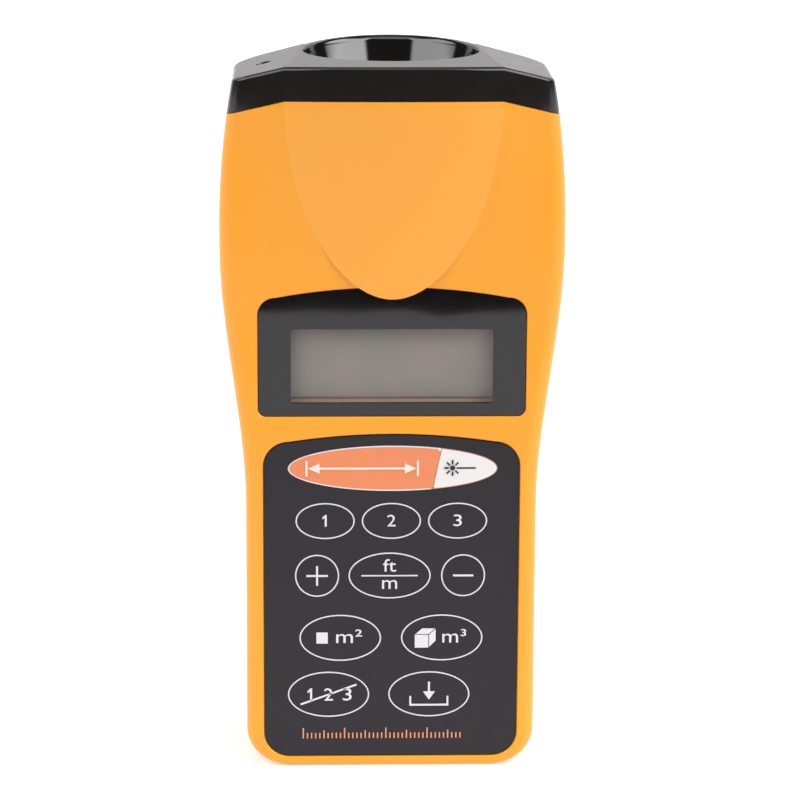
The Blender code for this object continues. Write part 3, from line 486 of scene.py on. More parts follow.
def make_materials():
    """Every finish by name, with one copy of the orange whose paler colour is painted highlight for the
    tongue. After a moulded one's roughness come grain size, bump depth and mottling.
    """
    ink = dict(grain=0.08, depth=0.004, mottle=0.04)
    return {
        "orange": moulded("orange_plastic", (0.79, 0.302, 0.007), 0.33, 0.3, 0.008, 0.015),
        # Painted highlight: the tongue is the same orange plastic as the head; this copy is paler and a
        # little rougher, and its paler colour stands in for the light the tongue catches.
        "tongue": moulded("tongue_painted_highlight", (0.80, 0.324, 0.022), 0.36, 0.3, 0.008, 0.015),
        "cap": moulded("black_plastic", (0.0105, 0.0085, 0.0085), 0.15, 0.35, 0.0012, 0.05),
        "horn": moulded("polished_horn", (0.005, 0.0046, 0.0042), 0.05, 3.0, 0.004, 0.15,
                        Specular_IOR_Level=0.85),
        "inner": moulded("inner_black", (0.016, 0.015, 0.015), 0.5, 0.4, 0.015, 0.1),
        "film": moulded("matt_film", (0.0125, 0.0110, 0.0140), 0.46, 0.14, 0.012, 0.10,
                        Specular_IOR_Level=0.34),
        "white": moulded("white_ink", (0.62, 0.605, 0.63), 0.5, **ink),
        "orange_ink": moulded("orange_ink", (0.66, 0.245, 0.13), 0.5, **ink),
        "brown_ink": moulded("brown_ink", (0.46, 0.20, 0.11), 0.5, **ink),
        "black_ink": moulded("black_ink", (0.014, 0.013, 0.016), 0.5, **ink),
        "pale_ink": moulded("pale_ink", (0.80, 0.62, 0.52), 0.5, **ink),
        "measure": moulded("orange_key_print", (0.664, 0.203, 0.081), 0.45, 0.14, 0.010, 0.03),
        "laser": moulded("pale_key_print", (0.66, 0.64, 0.625), 0.45, 0.14, 0.010, 0.03),
        "lens": make_lens_material(),
        "pane": make_pane_material(),
        "lcd": make_lcd_material(),
        "ledge": moulded("glass_ledge", (0.66, 0.48, 0.36), 0.3, 0.2, 0.004, 0.05),
        "diffuser": moulded("diffuser_plastic", (0.78, 0.78, 0.74), 0.5, 0.3, 0.01, 0.03),
        "rubber": moulded("black_rubber", (0.022, 0.022, 0.024), 0.78, 0.18, 0.03, 0.15),
        "board": make_board_material(),
        "chip": moulded("chip_epoxy", (0.018, 0.018, 0.019), 0.55, 0.12, 0.02, 0.1),
        "capacitor": moulded("capacitor_sleeve", (0.022, 0.03, 0.10), 0.32, 1.2, 0.01, 0.1),
        "steel": brushed("plated_steel", (0.58, 0.575, 0.56), 0.26),
        "brass": brushed("brass", (0.72, 0.52, 0.22), 0.26),
        "jacket": moulded("battery_jacket", (0.02, 0.021, 0.024), 0.28, 2.0, 0.006, 0.1),
        "band": moulded("battery_band", (0.60, 0.36, 0.12), 0.24, 2.0, 0.006, 0.06, 0.7),
        "red": moulded("red_insulation", (0.45, 0.016, 0.014), 0.38, 0.5, 0.01, 0.08),
        "black_wire": moulded("black_insulation", (0.014, 0.014, 0.015), 0.38, 0.5, 0.01, 0.1),
        "glass": moulded("lens_glass", (0.10, 0.09, 0.10), 0.06, 3.0, 0.002, 0.1, Coat_Weight=0.6),
    }


MATERIALS = make_materials()


# ---------------- casing form
def smooth_step(value):
    value = min(1.0, max(0.0, value))
    return value * value * (3.0 - 2.0 * value)


def half_width(z):
    swell = HEAD_SWELL * smooth_step((z - HEAD_SWELL_LOW) / (HEAD_SWELL_HIGH - HEAD_SWELL_LOW))
    taper = HEAD_TAPER * max(0.0, (z - HEAD_TAPER_LOW) / (HEIGHT - HEAD_TAPER_LOW)) ** 2
    corner = 0.0
    if z < BOTTOM_CORNER:
        corner = BOTTOM_CORNER - math.sqrt(BOTTOM_CORNER ** 2 - (BOTTOM_CORNER - z) ** 2)
    return GRIP_HALF_WIDTH + swell - taper - corner


def bottom_edge(z):
    """How far the front and back draw in at the rounded bottom edge."""
    if z >= BOTTOM_EDGE:
        return 0.0
    return BOTTOM_EDGE - math.sqrt(BOTTOM_EDGE ** 2 - (BOTTOM_EDGE - z) ** 2)


def front_plane(z):
    lean = min(1.0, max(0.0, (z - HEAD_LEAN_LOW) / (HEAD_LEAN_HIGH - HEAD_LEAN_LOW)))
    return FRONT - HEAD_FRONT_STEP * lean ** 1.35


def wing_setback(x, z):
    """The front of the head falls back beside the tongue."""
    beside = max(0.0, abs(x) - TONGUE_HALF_WIDTH) / 9.5
    return WING_FALL * beside * smooth_step((z - HEAD_LEAN_LOW - 11.0) / 34.0)


def back_plane(z):
    rise = max(0.0, (z - TONGUE_TIP - 2.0) / (HEIGHT - TONGUE_TIP - 2.0))
    return BACK - 4.2 * rise ** 2


def barrel_radius(z):
    depth = max(0.0, HEIGHT - z)
    return HORN_MOUTH + HORN_RIM - BARREL_TAPER * (depth / BARREL_LENGTH) ** 1.4


def tongue_rise(z):
    return min(1.0, max(0.0, (z - TONGUE_TIP) / (HEIGHT - CAP_BAND - TONGUE_TIP)))


def tongue_half_width(z):
    return TONGUE_HALF_WIDTH * (1.0 - (1.0 - tongue_rise(z)) ** 2) ** 0.53


def tongue_bulge(x, z, half):
    """How far the tongue stands out in front of the head, under a crown across its width."""
    middle = TONGUE_TIP_STEP + (TONGUE_CROWN - TONGUE_TIP_STEP) * tongue_rise(z)
    edge = max(0.0, middle - half ** 2 / 120.0)
    return edge + (middle - edge) * (1.0 - (x / half) ** 2)


def barrel_edge(z, inset, limit):
    """X where the barrel rises out of the flat back; a small value where it doesn't."""
    radius = barrel_radius(z) - inset
    reach = back_plane(z) - inset - HORN_Y
    if radius <= reach:
        return 2.0
    return min(limit, max(2.0, math.sqrt(radius ** 2 - reach ** 2)))


def back_face(x, z, inset):
    flat = back_plane(z) - inset
    radius = barrel_radius(z) - inset
    if abs(x) < radius:
        return max(flat, HORN_Y + math.sqrt(radius ** 2 - x ** 2))
    return flat


def front_points(z, inset, with_tongue):
    """Right half of the front, from beside the middle to where the corner starts."""
    front_x = half_width(z) - inset - max(0.8, FRONT_CORNER - inset)
    crease = min(TONGUE_HALF_WIDTH, front_x - 1.0)
    places = [crease * i / 15 for i in range(1, 16)]
    places += [crease + (front_x - crease) * i / 4 for i in range(1, 4)]
    points = []
    for x in places:
        y = front_plane(z) + inset + bottom_edge(z) + wing_setback(x, z)
        if with_tongue and x <= crease:
            y = front_plane(z) + inset - tongue_bulge(x, z, TONGUE_HALF_WIDTH)
        points.append((x, y))
    return points


def side_points(z, inset, groove):
    """Front corner, the side with its parting groove, and the rear corner."""
    half = half_width(z) - inset
    front_radius = max(0.8, FRONT_CORNER - inset)
    rear_radius = max(0.8, REAR_CORNER - inset)
    front_x = half - front_radius
    front_y = front_plane(z) + wing_setback(front_x, z) + inset + bottom_edge(z) + front_radius
    rear_y = back_plane(z) - inset - bottom_edge(z) - rear_radius
    points = arc((front_x, front_y), front_radius, -90.0, 0.0, 10)
    points += [(half, -0.3), (half - groove, -SEAM_GAP), (half - groove, SEAM_GAP), (half, 0.3)]
    return points + arc((half - rear_radius, rear_y), rear_radius, 0.0, 90.0, 12)


def back_points(z, inset):
    """Right half of the back, with the barrel's foot always on a point."""
    rear_x = half_width(z) - inset - max(0.8, REAR_CORNER - inset)
    shoulder = min(fold_x(back_plane(z) - inset), rear_x - 1.0)
    foot = barrel_edge(z, inset, shoulder - 0.4)
    places = [rear_x + (shoulder - rear_x) * i / 3 for i in range(1, 4)]
    places += [shoulder + (foot - shoulder) * i / 3 for i in range(1, 4)]
    turn = math.asin(min(1.0, foot / max(2.0 * foot, barrel_radius(z) - inset)))
    steps = 18
    places += [foot * math.sin(turn * (1 - i / steps)) / math.sin(turn) for i in range(1, steps)]
    return [(x, back_face(x, z, inset) - bottom_edge(z)) for x in places]


def casing_section(z, inset=0.0, groove=0.0, with_tongue=False):
    """(x, y) points around the casing at a height, all drawn in by the inset."""
    right = front_points(z, inset, with_tongue) + side_points(z, inset, groove) + back_points(z, inset)
    bulge = tongue_bulge(0.0, z, TONGUE_HALF_WIDTH) if with_tongue else -bottom_edge(z)
    front_middle = [(0.0, front_plane(z) + inset - bulge)]
    back_middle = [(0.0, back_face(0.0, z, inset) - bottom_edge(z))]
    return front_middle + right + back_middle + [(-x, y) for x, y in reversed(right)]


def casing_loft(inset, low, groove=0.0):
    heights = [low + BOTTOM_CORNER * (1.0 - math.cos(math.radians(6.0 * i))) for i in range(16)]
    heights += [16.0, 30.0, 44.0]
    heights += [HEAD_SWELL_LOW + (HEIGHT + 1.0 - HEAD_SWELL_LOW) * i / 48 for i in range(49)]
    return loft([[(x, y, z) for x, y in casing_section(z, inset, groove)] for z in heights])


def fold_x(y):
    """Half width of the middle of the top face, which narrows to the back."""
    return SHOULDER_X - SHOULDER_SLANT * y


def top_face(x, y):
    """Height of the top face: a slight crown, then a slope from each fold to the side."""
    fold = fold_x(y)
    crown = TOP_CROWN * min(1.0, abs(x) / fold) ** 2
    return HEIGHT - crown - SHOULDER_SLOPE * max(0.0, abs(x) - fold)


def slice_block(drop, low, y_low, y_high):
    """Block under the cap's top face, lowered by drop.

    Its underside is level at low, or follows the top face by the cap's band if low is None.
    """
    rings = []
    for y in (y_low, y_high):
        places = [OUTSIDE] + [fold_x(y) * i / 8 for i in range(8, -9, -1)] + [-OUTSIDE]
        ring = [(x, y, top_face(x, y) - drop) for x in places]
        if low is None:
            ring += [(x, y, top_face(x, y) - CAP_BAND) for x in reversed(places)]
        else:
            ring += [(-OUTSIDE, y, low), (OUTSIDE, y, low)]
        rings.append(ring)
    return loft(rings)


def cavity_tool():
    """Room inside the casing, as a closed bmesh for a Boolean step."""
    mesh = solid_from("cavity", casing_loft(WALL, WALL),
                      [(KEEP, slice_block(CAP_TOP_WALL, -OUTSIDE, -OUTSIDE, OUTSIDE))])
    bm = bmesh.new()
    bm.from_mesh(mesh)
    bmesh.ops.scale(bm, verts=bm.verts, vec=(1.0 / MM,) * 3)
    return bm


def tongue_form(growth):
    """The tongue as a solid that reaches into the wall; growth widens its outline."""
    tip = TONGUE_TIP - growth
    length = HEIGHT + 2.0 - tip
    rings = []
    steps = 44
    for k in range(steps + 1):
        z = tip + 0.02 + length * (k / steps) ** 2.2
        half = tongue_half_width(z + growth) + growth
        ring = [(half, FRONT + WALL, z), (-half, FRONT + WALL, z)]
        for i in range(33):
            x = -half + 2.0 * half * i / 32
            ring.append((x, front_plane(z) - tongue_bulge(x, z, half), z))
        rings.append(ring)
    return loft(rings)


# ---------------- outlines
def panel_outline(half, low, high, low_radius, high_radius, crown):
    """Panel with rounded corners; its top edge is an arc that falls by crown to the sides."""
    steps = 14
    top_corner = high - crown * ((half - high_radius) / half) ** 2
    right = arc((half - low_radius, low + low_radius), low_radius, -90.0, 0.0, steps)
    right += arc((half - high_radius, top_corner - high_radius), high_radius, 0.0, 90.0, steps)
    for i in range(1, steps):
        x = (half - high_radius) * (1.0 - i / steps)
        right.append((x, high - crown * (x / half) ** 2))
    return right + [(0.0, high)] + [(-x, z) for x, z in reversed(right)]


def film_outline(growth):
    return panel_outline(FILM_HALF_WIDTH + growth, FILM_BOX[0].z - growth, FILM_BOX[1].z + growth,
                         4.8 + growth, 4.7 + growth, 2.4)


def window_outline(growth):
    return panel_outline(WINDOW_HALF_WIDTH + growth, WINDOW_BOX[0].z - growth, WINDOW_HIGH + growth,
                         1.5 + growth, 3.3 + growth, 2.77)


def recess_tool(outline, gap, floor):
    """Cutter for a recess in the front whose rim is rounded over."""
    rings = []
    for degrees in (10.0, 28.0, 46.0, 66.0, 90.0):
        angle = math.radians(degrees)
        spread = RECESS_EDGE * (1.0 - math.sin(angle))
        depth = RECESS_EDGE * (1.0 - math.cos(angle))
        rings.append([(x, front_plane(z) + depth, z) for x, z in outline(gap + spread)])
    rings.insert(0, [(x, -OUTSIDE, z) for x, _, z in rings[0]])
    rings.append(at_y(outline(gap), floor))
    return loft(rings)


def plate(outline, front, back, edge):
    """Plate whose front edge is rounded; outline gives its (x, z) points for a growth."""
    steps = ((front, -edge), (front + 0.3 * edge, -0.3 * edge), (front + edge, 0.0), (back, 0.0))
    return loft([at_y(outline(growth), y) for y, growth in steps])


def ellipse_in(low, high):
    return (low.x + high.x) / 2, (low.z + high.z) / 2, (high.x - low.x) / 2, (high.z - low.z) / 2


def key_ellipse(name):
    """Centre and half sizes of a small key."""
    return ellipse_in(*node_box(name))


def oval_ellipse():
    """Centre and half sizes of the oval that the two upper keys share."""
    left, right = node_box("key_measure"), node_box("key_laser")
    return ellipse_in(Vector((left[0].x, 0.0, min(left[0].z, right[0].z))),
                      Vector((right[1].x, 0.0, max(left[1].z, right[1].z))))


def film_openings(growth):
    ellipses = [oval_ellipse()] + [key_ellipse(name) for name in SMALL_KEYS]
    return [ellipse_points(ellipse, growth) for ellipse in ellipses]


# ---------------- casing pieces
def make_front_housing():
    bosses = bmesh.new()
    holes = prisms_y(film_openings(0.3), FRONT - 5.0, FRONT + WALL + 0.3)
    for place in SCREW_PLACES:
        rod_y(bosses, FRONT_BOSS, front_plane(place[1]) + 1.55, -SEAM_GAP, place)
        rod_y(holes, SCREW_HOLE, -8.0, 1.0, place, 24)
    board = BOARD_BOX[0].y
    for number in (1, 2):
        place = node_centre(f"board_screw_{number}").xz
        rod_y(bosses, BOARD_BOSS, FILM_FLOOR + 0.4, board - 0.3, place)
        rod_y(holes, BOARD_HOLE, board - 2.6, board + 1.0, place, 24)
    view = box((-VIEW_HALF_WIDTH - 0.9, FRONT - 5.0, VIEW_LOW - 0.8),
               (VIEW_HALF_WIDTH + 0.9, FRONT + WALL + 1.0, VIEW_HIGH + 0.8))
    mesh = solid_from("front_shell", casing_loft(0.0, 0.0, SEAM_GROOVE), [
        (CUT, recess_tool(film_outline, FILM_GAP, FILM_FLOOR)),
        (CUT, recess_tool(window_outline, WINDOW_GAP, WINDOW_FLOOR)),
        (JOIN, tongue_form(0.0)),
        (KEEP, slice_block(CAP_BAND + 2 * SEAM_GAP, BELOW, -OUTSIDE, -SEAM_GAP)),
        (CUT, cavity_tool()),
        (JOIN, bosses),
        (CUT, holes),
        (CUT, view)])

    # Faces of the tongue, which get the paler copy of the orange: a painted highlight that stands in for
    # the light on the tongue.
    def on_tongue(point, normal):
        return (normal.y < -0.3 and point.z > TONGUE_TIP and point.y < front_plane(point.z) + 0.8
                and abs(point.x) < tongue_half_width(point.z))

    paint_faces(mesh, 1, on_tongue)
    finish_piece("front_shell", mesh, ["orange", "tongue"], replaces=["front_housing"],
                 sharp=20.0)


def make_rear_housing():
    bosses = bmesh.new()
    holes = box((-4.5, BAY_FRONT - 1.0, BAY_HIGH - 6.7), (4.5, BAY_FRONT + 2.0, BAY_HIGH - 2.7))
    head = SCREW_HEAD + 0.3
    for place in SCREW_PLACES:
        rim = back_plane(place[1])
        rod_y(bosses, REAR_BOSS, SEAM_GAP, rim - 1.0, place)
        turned_y(holes, [(SCREW_HOLE, -1.0), (SCREW_HOLE, SCREW_SEAT), (head, SCREW_SEAT),
                         (head, rim - 0.35), (head + 0.12, rim - 0.12), (head + 0.4, rim + 0.02),
                         (head + 0.4, OUTSIDE)], place)
    walls = box((-BAY_HALF_WIDTH - 1.0, BAY_FRONT, BAY_LOW - 1.0),
                (BAY_HALF_WIDTH + 1.0, BACK - 1.0, BAY_HIGH + 1.0))
    room = box((-BAY_HALF_WIDTH, BAY_FRONT + 1.0, BAY_LOW), (BAY_HALF_WIDTH, OUTSIDE, BAY_HIGH))
    gap = 0.2
    doorway = box((DOOR_BOX[0].x - gap, DOOR_INNER - 0.3, DOOR_BOX[0].z - gap),
                  (DOOR_BOX[1].x + gap, OUTSIDE, DOOR_BOX[1].z + gap))
    mesh = solid_from("rear_shell", casing_loft(0.0, 0.0, SEAM_GROOVE), [
        (KEEP, slice_block(CAP_BAND + 2 * SEAM_GAP, BELOW, SEAM_GAP, OUTSIDE)),
        (CUT, cavity_tool()),
        (JOIN, bosses),
        (JOIN, walls),
        (CUT, room),
        (CUT, doorway),
        (CUT, holes)])
    finish_piece("rear_shell", mesh, ["orange"], replaces=["rear_housing"],
                 sharp=20.0)


def cap_ring(drop, inset):
    """Ring of the cap at a distance below its top face, which isn't level."""
    level = casing_section(HEIGHT - drop, inset, 0.0, True)
    ring = []
    for i, (x, y) in enumerate(level):
        for _ in range(2):
            z = top_face(x, y) - drop
            x, y = casing_section(z, inset, 0.0, True)[i]
        ring.append((x, y, top_face(x, y) - drop))
    return ring


def cap_form():
    """The cap's sides with a rounded top edge, taller at both ends than the cap."""
    rings = [cap_ring(drop, 0.0) for drop in (CAP_BAND + 1.0, 4.2, 2.2)]
    for degrees in (0.0, 18.0, 36.0, 54.0, 72.0, 86.0):
        angle = math.radians(degrees)
        rings.append(cap_ring(CAP_EDGE * (1.0 - math.sin(angle)), CAP_EDGE * (1.0 - math.cos(angle))))
    rings.append([(x, y, z + 1.0) for x, y, z in rings[-1]])
    return loft(rings)


def horn_radius(z):
    return HORN_MOUTH - (HORN_MOUTH - HORN_THROAT) / HORN_DEPTH * (HEIGHT - z)


def make_top_cap():
    """Cap and horn, one moulding, with a polished horn and a collar under its throat."""
    centre = (0.0, HORN_Y)
    heights = [HEIGHT - 1.0 + (THROAT_Z + 3.2 - HEIGHT + 1.0) * i / 6 for i in range(7)]
    outside = [(horn_radius(z) + HORN_WALL, z) for z in heights]
    outside += [(COLLAR_OUTER, THROAT_Z + 1.2), (COLLAR_OUTER, COLLAR_LOW)]
    lip_low = HEIGHT - HORN_LIP_DEPTH
    lip_reach = HORN_MOUTH + HORN_LIP - horn_radius(lip_low)
    inside = [(HORN_MOUTH + HORN_LIP + 0.02, HEIGHT + 1.0)]
    for degrees in (88.0, 75.0, 60.0, 45.0, 30.0, 15.0, 0.0):
        angle = math.radians(degrees)
        inside.append((horn_radius(lip_low) + lip_reach * (1.0 - math.cos(angle)),
                       lip_low + HORN_LIP_DEPTH * math.sin(angle)))
    heights = [lip_low - (HORN_DEPTH - HORN_LIP_DEPTH) * i / 10 for i in range(1, 11)]
    inside += [(horn_radius(z), z) for z in heights]
    inside += [(HORN_THROAT, THROAT_Z - 0.5), (COLLAR_INNER, THROAT_Z - 0.5),
               (COLLAR_INNER, COLLAR_LOW - 1.0)]
    hole = (LASER_CENTRE.x, LASER_CENTRE.y)
    top = top_face(*hole)
    aperture = [(LASER_HOLE, HEIGHT - 10.0), (LASER_HOLE, top - 0.5), (LASER_HOLE + 0.15, top - 0.25),
                (LASER_HOLE + 0.15, HEIGHT + 2.0)]
    mesh = solid_from("cap_moulding", cap_form(), [
        (KEEP, slice_block(0.0, None, -OUTSIDE, OUTSIDE)),
        (CUT, cavity_tool()),
        (JOIN, turned_z(outside, centre, 128)),
        (CUT, turned_z(inside, centre, 128)),
        (CUT, turned_z(aperture, hole, 40))])

    def in_horn(point, normal):
        from_axis = math.hypot(point.x, point.y - HORN_Y)
        in_cone = point.z > THROAT_Z - 0.6 and from_axis < horn_radius(point.z) + 0.12
        return in_cone and abs(normal.z) < 0.8

    paint_faces(mesh, 1, in_horn)
    finish_piece("cap_moulding", mesh, ["cap", "horn"], replaces=["top_cap"], sharp=20.0)


def make_battery_door():
    """Door with a rounded hinge edge, finger ribs and a raised arrow that shows which way it opens."""
    low, high = DOOR_BOX[0].z, DOOR_BOX[1].z
    radius = (BACK - DOOR_INNER) / 2
    profile = arc((DOOR_INNER + radius, low + radius), radius, 180.0, 360.0, 14)
    profile += [(BACK, high - 0.3), (BACK - 0.1, high - 0.08), (BACK - 0.3, high), (DOOR_INNER, high)]
    rings = []
    for x, inset in ((0.0, 1.0), (0.1, 0.45), (0.4, 0.12), (1.0, 0.0)):
        side = DOOR_BOX[0].x + x * DOOR_EDGE
        rings.append([(side, y - (inset * DOOR_EDGE if y > BACK - 0.01 else 0.0), z) for y, z in profile])
    rings += [[(-x, y, z) for x, y, z in ring] for ring in reversed(rings)]
    marks = bmesh.new()
    for i in range(5):
        middle = high - 14.4 + 2.4 * i
        add_mark(marks, [(-9.0, middle), (9.0, middle)], RIB_RADIUS)
    add_mark(marks, [(-4.6, high - 21.5), (0.0, high - 18.0), (4.6, high - 21.5)], RIB_RADIUS)
    mesh = solid_from("door_panel", loft(rings), [(JOIN, marks)])
    finish_piece("door_panel", mesh, ["orange"], body="battery_door", replaces=["battery_door"])


def add_mark(bm, path, radius):
    """Adds a raised rib with round ends along a path of (x, z) points on the door's outside."""
    path = [Vector(point) for point in path]
    headings = [(after - before).normalized() for before, after in zip(path, path[1:])]
    middle = []
    for point, before, after in zip(path[1:], headings, headings[1:]):
        along = (before + after).normalized()
        middle.append((point, Vector((-along.y, along.x)) / along.dot(before)))
    starting, ending = (math.degrees(math.atan2(way.y, way.x)) for way in (headings[0], headings[-1]))
    rings = []
    for spread, height in ((1.0, -0.3), (1.0, 0.15), (0.8, 0.38), (0.45, 0.49)):
        reach = radius * spread
        outline = [tuple(point + across * reach) for point, across in middle]
        outline += arc(path[-1], reach, ending + 90.0, ending - 90.0, 10)
        outline += [tuple(point - across * reach) for point, across in reversed(middle)]
        outline += arc(path[0], reach, starting - 90.0, starting - 270.0, 10)
        rings.append(at_y(outline, BACK + height))
    add_loft(bm, rings)


def make_screws():
    """Pan-head housing screws with a cross recess, down in their counterbores."""
    seat = SCREW_SEAT + 0.3
    arm, slot = 1.5, 0.36
    cross = [(slot, slot), (slot, arm), (-slot, arm), (-slot, slot), (-arm, slot), (-arm, -slot),
             (-slot, -slot), (-slot, -arm), (slot, -arm), (slot, -slot), (arm, -slot), (arm, slot)]
    for number, place in enumerate(SCREW_PLACES, 1):
        tip = node_box(f"housing_screw_{number}")[0].y
        profile = [(0.7, tip), (1.2, tip + 0.8), (1.2, seat), (SCREW_HEAD, seat), (SCREW_HEAD, seat + 0.55)]
        profile += [(SCREW_HEAD - 0.9 * (1 - math.cos(a)), seat + 0.55 + 1.05 * math.sin(a))
                    for a in (0.35, 0.7, 1.05, 1.4, 1.57)]
        screw = bmesh.new()
        turned_y(screw, profile, place, 48)
        recess = prisms_y([[(place[0] + dx, place[1] + dz) for dx, dz in cross]], seat + 0.7, seat + 4.0)
        finish_piece(f"case_screw_{number}", solid_from("screw", screw, [(CUT, recess)]), ["steel"],
                     replaces=[f"housing_screw_{number}"], sharp=35.0)


# ---------------- keypad
def ray_length(centre, angle, ellipse, growth, split):
    """Distance from a point to the edge of an ellipse, or to a slanted line if that is nearer.

    split is -1 or 1 for the key on the left or right of the line, and 0 for a whole ellipse. The second
    value says whether the line set the distance.
    """
    x, z, wide, tall = ellipse
    wide += growth
    tall += growth
    dx, dz = math.cos(angle), math.sin(angle)
    px, pz = (centre[0] - x) / wide, (centre[1] - z) / tall
    qx, qz = dx / wide, dz / tall
    a = qx * qx + qz * qz
    b = px * qx + pz * qz
    c = px * px + pz * pz - 1.0
    distance = (-b + math.sqrt(b * b - a * c)) / a
    if split:
        across = Vector((OVAL_LEAN.y, -OVAL_LEAN.x)) * split
        start = Vector((OVAL_SPLIT_X, z)) + across * (SPLIT_GAP - growth)
        towards = Vector((dx, dz)).dot(across)
        if towards < -1e-6:
            to_line = (start - Vector(centre)).dot(across) / towards
            if to_line < distance:
                return to_line, True
    return distance, False


def key_angles(centre, ellipse, split):
    """Directions of a key's grid, with one through each end of the slanted line."""
    angles = [2 * math.pi * i / KEY_SEGMENTS for i in range(KEY_SEGMENTS)]
    if not split:
        return angles
    previous = ray_length(centre, 0.0, ellipse, 0.0, split)[1]
    fine = 7200
    for i in range(1, fine):
        angle = 2 * math.pi * i / fine
        current = ray_length(centre, angle, ellipse, 0.0, split)[1]
        if current != previous:
            nearest = min(range(KEY_SEGMENTS), key=lambda k: abs(angles[k] - angle))
            angles[nearest] = angle
        previous = current
    return angles


def make_key(name, ellipse, centre, split, band, finishes):
    """A key's pad over a snap dome, a printed band along its edge, and its plunger behind."""
    angles = key_angles(centre, ellipse, split)
    outer = [ray_length(centre, angle, ellipse, 0.0, split) for angle in angles]
    inner = [ray_length(centre, angle, ellipse, -band, split)[0] for angle in angles]
    dome = min(DOME_RADIUS, min(inner) - 0.15)
    bm = bmesh.new()
    middle = bm.verts.new((centre[0], FILM_FRONT - DOME_RISE, centre[1]))
    loops = []

    def add_ring(reaches, y):
        loops.append([bm.verts.new((centre[0] + reach * math.cos(angle), y,
                                    centre[1] + reach * math.sin(angle)))
                      for angle, reach in zip(angles, reaches)])

    for share in (0.2, 0.4, 0.6, 0.8, 0.92, 1.0):
        add_ring([dome * share] * KEY_SEGMENTS, FILM_FRONT - DOME_RISE * (1.0 - share ** 2))
    for share in (0.04, 0.35, 0.7, 1.0):
        add_ring([dome + (reach - dome) * share for reach in inner], FILM_FRONT)
    band_start = len(loops) - 1
    reaches = [reach for reach, _ in outer]
    back = FILM_FRONT + FILM_THICKNESS
    add_ring(reaches, FILM_FRONT)
    add_ring(reaches, back)
    add_ring([PLUNGER_RADIUS] * KEY_SEGMENTS, back)
    add_ring([PLUNGER_RADIUS] * KEY_SEGMENTS, PLUNGER_TIP)
    for i in range(KEY_SEGMENTS):
        bm.faces.new((middle, loops[0][i], loops[0][(i + 1) % KEY_SEGMENTS]))
    for number, (near, far) in enumerate(zip(loops, loops[1:])):
        for i in range(KEY_SEGMENTS):
            j = (i + 1) % KEY_SEGMENTS
            face = bm.faces.new((near[i], near[j], far[j], far[i]))
            if number == band_start and not (outer[i][1] and outer[j][1]):
                face.material_index = 1
    bm.faces.new(loops[-1])
    finish_piece(f"{name}_pad", scaled_mesh(name, bm), finishes, body=name, replaces=[name],
                 sharp=40.0)


def make_keys():
    for name in SMALL_KEYS:
        ellipse = key_ellipse(name)
        make_key(name, ellipse, ellipse[:2], 0, RING_WIDTH, ["film", "white"])
    oval = oval_ellipse()
    make_key("key_measure", oval, MEASURE_PLUNGER, -1, RING_WIDTH, ["measure", "white"])
    make_key("key_laser", oval, LASER_PLUNGER, 1, SPLIT_BAND, ["laser", "brown_ink"])


def make_film():
    back = FILM_FRONT + FILM_THICKNESS
    openings = prisms_y(film_openings(KEY_GAP), FILM_FRONT - 1.0, back + 1.0)
    mesh = solid_from("keypad_overlay", plate(film_outline, FILM_FRONT, back, 0.09), [(CUT, openings)])
    finish_piece("keypad_overlay", mesh, ["film"], replaces=["keypad_film"])


# ---------------- printing
def bar(start, end, width):
    """Outline of a straight stroke with square ends."""
    start, end = Vector(start), Vector(end)
    across = (end - start).normalized() * (width / 2)
    turn = Vector((-across.y, across.x))
    return [tuple(point) for point in (start - turn, end - turn, end + turn, start + turn)]


def glyphs(text, centre, width, height):
    """Numbers or unit symbols in the built-in font, fitted to a size, as a flat solid."""
    curve = bpy.data.curves.new("glyphs", "FONT")
    curve.body = text
    curve.extrude = 0.5
    curve.resolution_u = 5
    bm = bmesh.new()
    bm.from_mesh(evaluated_mesh(make_object("glyphs", curve)))
    xs = [vert.co.x for vert in bm.verts]
    ys = [vert.co.y for vert in bm.verts]
    wide, tall = max(xs) - min(xs), max(ys) - min(ys)
    for vert in bm.verts:
        x = centre[0] + ((vert.co.x - min(xs)) / wide - 0.5) * width
        z = centre[1] + ((vert.co.y - min(ys)) / tall - 0.5) * height
        vert.co = (x, INK_FRONT if vert.co.z > 0.0 else INK_BACK, z)
    return bm


def print_on(name, body, shapes, finish, text=()):
    """Printing on a key or the film, from outlines of (x, z) points and fitted text."""
    bm = prisms_y(shapes, INK_BACK, INK_FRONT)
    for item in text:
        letters = glyphs(*item)
        mesh = bpy.data.meshes.new("letters")
        letters.to_mesh(mesh)
        letters.free()
        bm.from_mesh(mesh)
    finish_piece(name, scaled_mesh(name, bm), [finish], body=body)


def print_key(key, shapes, text=()):
    """White printing on a small key, placed from the key's middle."""
    x, z = key_ellipse(key)[:2]
    print_on(f"{key}_print", key, [[(x + dx, z + dz) for dx, dz in shape] for shape in shapes], "white",
             [(words, (x + dx, z + dz), wide, tall) for words, dx, dz, wide, tall in text])


def arrow_head(tip, direction, length, width):
    tip = Vector(tip)
    along = Vector(direction)
    across = Vector((-along.y, along.x)) * (width / 2)
    base = tip - along * length
    return [tuple(tip), tuple(base + across), tuple(base - across)]


def number_one(x, z, height, stroke):
    """Outline of the number 1, with a short flag."""
    right = x + stroke * 0.8
    left = right - stroke
    tip = left - stroke * 1.2
    top = z + height / 2
    return [(left, z - height / 2), (right, z - height / 2), (right, top), (right - stroke * 0.75, top),
            (tip, top - height * 0.22), (tip, top - height * 0.22 - stroke), (left, top - height * 0.27)]


